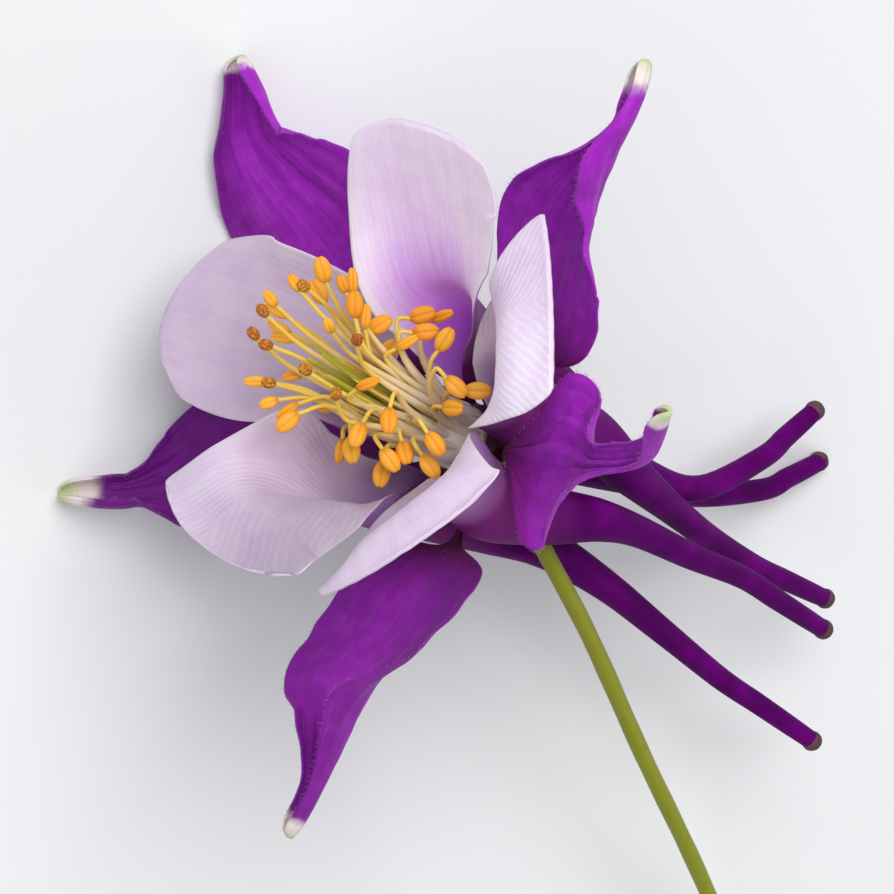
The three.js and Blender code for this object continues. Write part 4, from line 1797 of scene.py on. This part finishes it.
@dataclass
class StamenBunch:
    """The stamens: long ones in the middle, short ones with hanging anthers round the outside.

    Attributes:
        root_radius: how far from the axis the filaments rise.
        root_up: the height at which they rise.
        filament_radii: radius of a filament at its root and at its end.
        sleeve: profile (radius, height) of the sleeve that their packed lower ends make.
        staminodes: number of pale threads without anthers, close round the pistils.
        thread_out: how far from the axis the innermost and the outermost of them stand.
        thread_tops: how high the innermost and the outermost reach.
        thread_radii: radius of one at its root and at its end.
        stamens: the stamens.
    """

    root_radius: float = 2.5
    root_up: float = 1.0
    filament_radii: Pair = (0.5, 0.19)
    sleeve: Sequence[Pair] = ((2.2, 0.6), (2.9, 0.6), (2.85, 3.5), (2.6, 6.2), (2.25, 6.2), (2.2, 0.6))
    staminodes: int = 46
    thread_out: Pair = (1.6, 2.7)
    thread_tops: Pair = (14.5, 8.5)
    thread_radii: Pair = (0.4, 0.07)
    stamens: Sequence[Stamen] = field(default_factory=list)

    def azimuth(self, stamen: Stamen) -> float:
        """Works out where a stamen stands.

        Args:
            stamen: the stamen.

        Returns:
            Its anther's azimuth round the middle of the leaning bunch, from -180 to 180.
        """
        middle = VIEW.point(stamen.x, stamen.y, stamen.up)
        lean = bunch_point(0, 0, stamen.up)
        return math.degrees(math.atan2(middle.y - lean.y, middle.x - lean.x))

    def add_stamen(self, weave: Weave, stamen: Stamen, root_azimuth: float, tone: float) -> None:
        """Adds one filament and its anther.

        Args:
            weave: the mesh to add them to.
            stamen: where the anther is.
            root_azimuth: where the filament rises.
            tone: a number from 0 to 1, for small differences.
        """
        middle = VIEW.point(stamen.x, stamen.y, stamen.up)
        pointing = VIEW.direction(stamen.angle, stamen.toward)
        anther = Anther(middle, pointing, stamen.ripeness, tone)
        joint = anther.foot()
        root = self.root_radius * lerp(0.76, 1.08, tone)
        shoulder = bunch_point(root_azimuth, root, 0.3 * min(joint.z, 16.0))
        long = smoothstep(stamen.up, 10.0, 17.0)
        elbow = joint - pointing * lerp(1.2, 2.0, long)
        elbow = elbow.lerp(shoulder, 0.12 * long)
        span = (elbow - shoulder).length
        swell = shoulder.lerp(elbow, 0.5) + Vector((0, 0, lerp(0.22, 0.1, long) * span))
        path = Spline([bunch_point(root_azimuth, root, self.root_up), shoulder, swell, elbow, joint])
        weave.rod(path, lambda t: lerp(*self.filament_radii, smoothstep(t, 0.0, 0.85)), 8, 24, tone=tone)
        anther.add(weave)

    def add_staminode(self, weave: Weave, azimuth: float, outer: float, tone: float) -> None:
        """Adds a thread without an anther.

        Args:
            weave: the mesh to add it to.
            azimuth: where it stands round the bunch.
            outer: 0 beside the pistils, 1 at the outside of the bunch.
            tone: a number from 0 to 1, for small differences.
        """
        out = lerp(*self.thread_out, outer)
        top = lerp(*self.thread_tops, outer) + tone
        path = Spline([
            bunch_point(azimuth, out + 0.3 * share * share, lerp(self.root_up, top, share))
            for share in (0.0, 0.4, 0.7, 1.0)
        ])
        weave.rod(path, lambda t: lerp(*self.thread_radii, t) * (t < 1), 8, 16, tone=0.5 * tone)

    def build(self, materials: Sequence[bpy.types.Material]) -> bpy.types.Object:
        """Builds the bunch.

        Args:
            materials: the finishes of the filaments, of closed anthers and of opened ones.

        Returns:
            The finished piece.
        """
        weave = Weave()
        draws = random.Random(11)
        for rank, stamen in enumerate(sorted(self.stamens, key=self.azimuth)):
            even = 360 * rank / len(self.stamens) - 180
            self.add_stamen(weave, stamen, lerp(self.azimuth(stamen), even, 0.65), draws.random())
        for n in range(self.staminodes):
            outer = draws.random()
            self.add_staminode(weave, 360 / self.staminodes * (n + draws.random()), outer, draws.random())
        weave.grid(
            28, len(self.sleeve) - 1,
            lambda v, row: bloom_point(180 * v, *self.sleeve[row]),
            form=lambda v, row: (0.2, 0.0),
        )
        return weave.finish("stamens_fine", materials, "stamen", "stamens")


def make_stamens() -> StamenBunch:
    """Places the stamens.

    Returns:
        The bunch with its stamens.
    """
    closed, slim, ripe, opened = Ripeness.CLOSED, Ripeness.SLIM, Ripeness.RIPE, Ripeness.OPEN
    return StamenBunch(stamens=[
        # the long ones, from the upper right round to the lower left
        Stamen(365, 317, 16.0, 86, 10, slim),
        Stamen(354, 305, 17.5, 90, 5, closed),
        Stamen(352, 281, 17.0, 92, 0, slim),
        Stamen(342, 284, 18.5, 110, 20, ripe),
        Stamen(322, 270, 19.5, 105, 15, closed),
        Stamen(318, 292, 15.5, 120, 0, closed),
        Stamen(303, 286, 20.0, 140, 35, opened),
        Stamen(294, 283, 20.5, 125, 5, ripe),
        Stamen(270, 299, 20.5, 130, 10, ripe),
        Stamen(276, 311, 17.5, 150, 0, slim),
        Stamen(262, 311, 20.5, 130, 15, opened),
        Stamen(279, 328, 17.0, 155, 0, slim),
        Stamen(283, 338, 16.5, 172, 0, slim),
        Stamen(253, 334, 20.5, 128, 15, opened),
        Stamen(265, 345, 20.5, 165, 20, opened),
        Stamen(328, 326, 20.0, 110, 50, ripe),
        Stamen(356, 340, 18.5, 80, 50, opened),
        Stamen(304, 370, 20.5, 145, 30, opened),
        Stamen(294, 375, 15.5, 195, 0, slim),
        Stamen(256, 382, 20.0, 178, 0, slim),
        Stamen(268, 383, 20.5, 170, 30, opened),
        Stamen(268, 403, 19.5, 200, 10, ripe),
        Stamen(287, 411, 18.0, 215, 0, slim),
        Stamen(287, 422, 18.5, 218, 5, closed),
        Stamen(335, 394, 18.0, 85, 40, opened),
        Stamen(367, 384, 16.0, 22, 20, slim),
        Stamen(331, 407, 12.5, 190, 0, slim),
        # the short ones, from the back round by the right to the lower left
        Stamen(379, 325, 13.5, 30, 0, closed),
        Stamen(422, 315, 10.0, 15, 0, closed),
        Stamen(442, 316, 8.5, 20, 30, slim),
        Stamen(425, 332, 11.0, 4, 0, closed),
        Stamen(406, 343, 12.5, 28, 20, slim),
        Stamen(444, 340, 10.5, 58, 10, closed),
        Stamen(455, 387, 10.5, -42, 0, closed),
        Stamen(477, 391, 8.0, 0, 0, closed),
        Stamen(452, 408, 9.5, -4, 45, closed),
        Stamen(388, 421, 15.0, -92, 20, closed),
        Stamen(357, 435, 14.5, -110, 20, closed),
        Stamen(351, 450, 13.0, -85, 0, closed),
        Stamen(340, 451, 11.5, -100, 20, slim),
        Stamen(389, 460, 12.5, -55, 0, closed),
        Stamen(404, 453, 11.5, -75, 35, closed),
        Stamen(381, 474, 11.0, -100, 0, closed),
        Stamen(434, 444, 12.0, -55, 0, closed),
        Stamen(429, 466, 10.5, -55, 0, closed),
        # behind the bunch
        Stamen(388, 352, 9.0, 60, 0, closed),
        Stamen(366, 352, 10.0, 100, 0, closed),
        Stamen(350, 378, 9.5, 150, 0, closed),
    ])


@dataclass
class Pistils:
    """Five slim downy carpels, whose styles reach up through the stamens."""

    count: int = 5
    carpel_radius: float = 0.56
    style_radius: float = 0.17
    bottom: float = 0.6
    top: float = 17.4

    def radius(self, t: float) -> float:
        """Returns the radius along a carpel and its style, closed at both ends."""
        cap = math.sqrt(max(0.0, 1 - max(0.0, (t - 0.97) / 0.03) ** 2))
        return cap * lerp(self.carpel_radius, self.style_radius, smoothstep(t, 0.4, 1.0)) * (t > 0)

    def build(self, material: bpy.types.Material) -> bpy.types.Object:
        """Builds the pistils.

        Args:
            material: their finish.

        Returns:
            The finished piece.
        """
        weave = Weave()
        draws = random.Random(5)
        for n in range(self.count):
            azimuth = 360 / self.count * n
            path = Spline([
                bunch_point(azimuth, 0.8, self.bottom),
                bunch_point(azimuth, 0.85, 0.3 * self.top),
                bunch_point(azimuth, 0.7, 0.6 * self.top),
                bunch_point(azimuth + 20, 1.1, self.top + draws.uniform(-0.6, 0.4)),
            ])
            weave.rod(path, self.radius, 12, 40, tone=draws.random())
        return weave.finish("pistils_fine", [material], "pistil", "pistils")


# ---- stalk --------------------------------------------------------------------------------------------


@dataclass
class Stalk:
    """The cut stalk, which swells to the receptacle at its top."""

    points: Sequence[Point] = (
        (0, 0, 0.25), (-1.6, -0.4, -4.8), (-6.7, -2.3, -10.9), (-12.9, -3, -19.7),
        (-21.8, -2, -32.7), (-31.8, 0, -48.7), (-46.4, 4.4, -72),
    )
    radius: float = 0.8
    receptacle: float = 3.7
    rows: int = 150
    hairs: int = 500
    hair_lengths: Pair = (0.12, 0.3)
    hair_radii: Pair = (0.018, 0.005)

    def width(self, t: float, length: float) -> float:
        """Works out how thick it is, closed at both ends.

        Args:
            t: share of the way from its top to the cut.
            length: millimetres from its top.

        Returns:
            The radius.
        """
        if not 0 < t < 1:
            return 0.0
        dome = self.receptacle * (1 - smoothstep(length, 1.6, 5.0))
        flute = 1 + 0.02 * math.sin(length * 0.7)
        return max(dome, self.radius * flute)

    def build(self, material: bpy.types.Material, hair: bpy.types.Material) -> None:
        """Builds the stalk and its down.

        Args:
            material: the stalk's finish.
            hair: the down's finish.
        """
        path = Spline(self.points)
        lengths = running_lengths([path.at(i / self.rows) for i in range(self.rows + 1)])
        weave = Weave()
        weave.rod(path, lambda t: self.width(t, lengths[round(t * self.rows)]), 24, self.rows)
        weave.finish("stem_fine", [material], "stem", "stem")
        down = Weave()
        self.add_down(down, path)
        down.finish("stem_hairs", [hair], "stem")

    def add_down(self, down: Weave, path: Spline) -> None:
        """Adds the fine down all over the stalk.

        Args:
            down: the mesh to add it to.
            path: the stalk's middle line.
        """
        draws = random.Random(3)
        for _ in range(self.hairs):
            t = draws.uniform(0.1, 0.985)
            tangent = path.tangent(t)
            turn = Matrix.Rotation(draws.uniform(0, math.tau), 3, tangent)
            away = turn @ tangent.orthogonal().normalized()
            length = draws.uniform(*self.hair_lengths)
            root = path.at(t) + away * self.radius * 0.95
            lean = tangent * draws.uniform(-0.5, 0.2)
            end = root + (away + lean).normalized() * length
            hair = Spline([root, root.lerp(end, 0.5) + tangent * 0.01, end])
            down.rod(hair, lambda t: lerp(*self.hair_radii, t), 3, 2)


# ---- surroundings -------------------------------------------------------------------------------------


@dataclass(frozen=True)
class Lamp:
    """A soft square lamp, aimed at the bloom.

    Attributes:
        name: its name.
        azimuth: degrees round the part, from +X.
        height: degrees above the surface.
        distance: metres from the bloom.
        size: metres along a side.
        power: watts.
        aim: metres above the surface of the point that it shines at.
    """

    name: str
    azimuth: float
    height: float
    distance: float
    size: float
    power: float
    aim: float = 0.02

    def build(self) -> None:
        """Makes the lamp."""
        data = bpy.data.lights.new(self.name, "AREA")
        data.size = self.size
        data.energy = self.power
        lamp = bpy.data.objects.new(self.name, data)
        bpy.context.scene.collection.objects.link(lamp)
        a, h = math.radians(self.azimuth), math.radians(self.height)
        away = Vector((math.cos(a) * math.cos(h), math.sin(a) * math.cos(h), math.sin(h)))
        lamp.location = away * self.distance + Vector((0, 0, self.aim))
        lamp.rotation_mode = "QUATERNION"
        lamp.rotation_quaternion = away.to_track_quat("Z", "Y")


@dataclass
class Studio:
    """A plain pale floor in soft light."""

    floor_size: float = 3.0
    floor_colour: Colour = (0.74, 0.74, 0.75)
    floor_roughness: float = 0.85
    air: Colour = (0.93, 0.96, 1.0)
    air_strength: float = 0.36
    lamps: Sequence[Lamp] = (
        Lamp("key", 100, 58, 0.7, 0.5, 4.6),
        Lamp("fill", 215, 40, 0.8, 0.7, 1.4),
        Lamp("back", -20, 35, 0.8, 0.5, 1.2),
    )

    def build(self) -> None:
        """Makes the floor, the air and the lamps."""
        bm = bmesh.new()
        bmesh.ops.create_grid(bm, x_segments=1, y_segments=1, size=self.floor_size / 2)
        mesh = bpy.data.meshes.new("floor")
        bm.to_mesh(mesh)
        bm.free()
        floor = bpy.data.objects.new("floor", mesh)
        bpy.context.scene.collection.objects.link(floor)
        material = bpy.data.materials.new("floor")
        material.use_nodes = True
        shader = material.node_tree.nodes["Principled BSDF"]
        shader.inputs["Base Color"].default_value = (*self.floor_colour, 1.0)
        shader.inputs["Roughness"].default_value = self.floor_roughness
        mesh.materials.append(material)

        world = bpy.data.worlds.new("air")
        world.use_nodes = True
        background = world.node_tree.nodes["Background"]
        background.inputs["Color"].default_value = (*self.air, 1.0)
        background.inputs["Strength"].default_value = self.air_strength
        bpy.context.scene.world = world
        for lamp in self.lamps:
            lamp.build()
        bpy.context.scene.view_settings.view_transform = "Standard"


# ---- everything ---------------------------------------------------------------------------------------


def main() -> None:
    """Builds the bloom, piece by piece, and its surroundings."""
    logging.basicConfig(level=logging.INFO, format="%(name)s: %(message)s")
    shared = Shared(make_veins(), make_cells())
    petal_back = PetalBackSkin().material(shared)
    sepal_hair = HairSkin("sepal_hair").material(shared)
    green_hair = HairSkin("stem_hair", colour=(0.6, 0.62, 0.35)).material(shared)
    knobs = Weave()
    for petal in make_petals():
        petal.build(petal.skin.material(shared), petal_back)
        petal.knob(knobs)
    knob_skin = ThreadSkin("spur_end", root=(0.06, 0.022, 0.042), end=(0.11, 0.045, 0.052))
    knobs.finish("spur_ends", [knob_skin.material(shared)], "petal")
    for sepal in make_sepals():
        name = f"sepal_{sepal.number}_skin"
        # the sepal's painted light and shade goes into its finish
        skin = SepalSkin(name, cream=sepal.cream, net=sepal.net, painted_shading=sepal.painted_shading)
        sepal.build(skin.material(shared), sepal_hair)
    filament = ThreadSkin("filament", glow=0.2)
    closed = AntherSkin("closed_anther", roughness=0.5)
    opened = AntherSkin(
        "opened_anther", roughness=0.8, wall=(0.52, 0.17, 0.022), grain=0.9, bump=1.0, mottle=5550.0
    )
    make_stamens().build([skin.material(shared) for skin in (filament, closed, opened)])
    green = ThreadSkin("pistil", root=(0.80, 0.72, 0.50), end=(0.42, 0.40, 0.03))
    Pistils().build(green.material(shared))
    stem = ThreadSkin(
        "stem", roughness=0.5, root=(0.22, 0.225, 0.012), end=(0.23, 0.245, 0.007),
        collar=(0.085, 0.008, 0.035),
    )
    Stalk().build(stem.material(shared), green_hair)
    Studio().build()
    VIEW.make_camera()


if __name__ == "__main__":
    main()
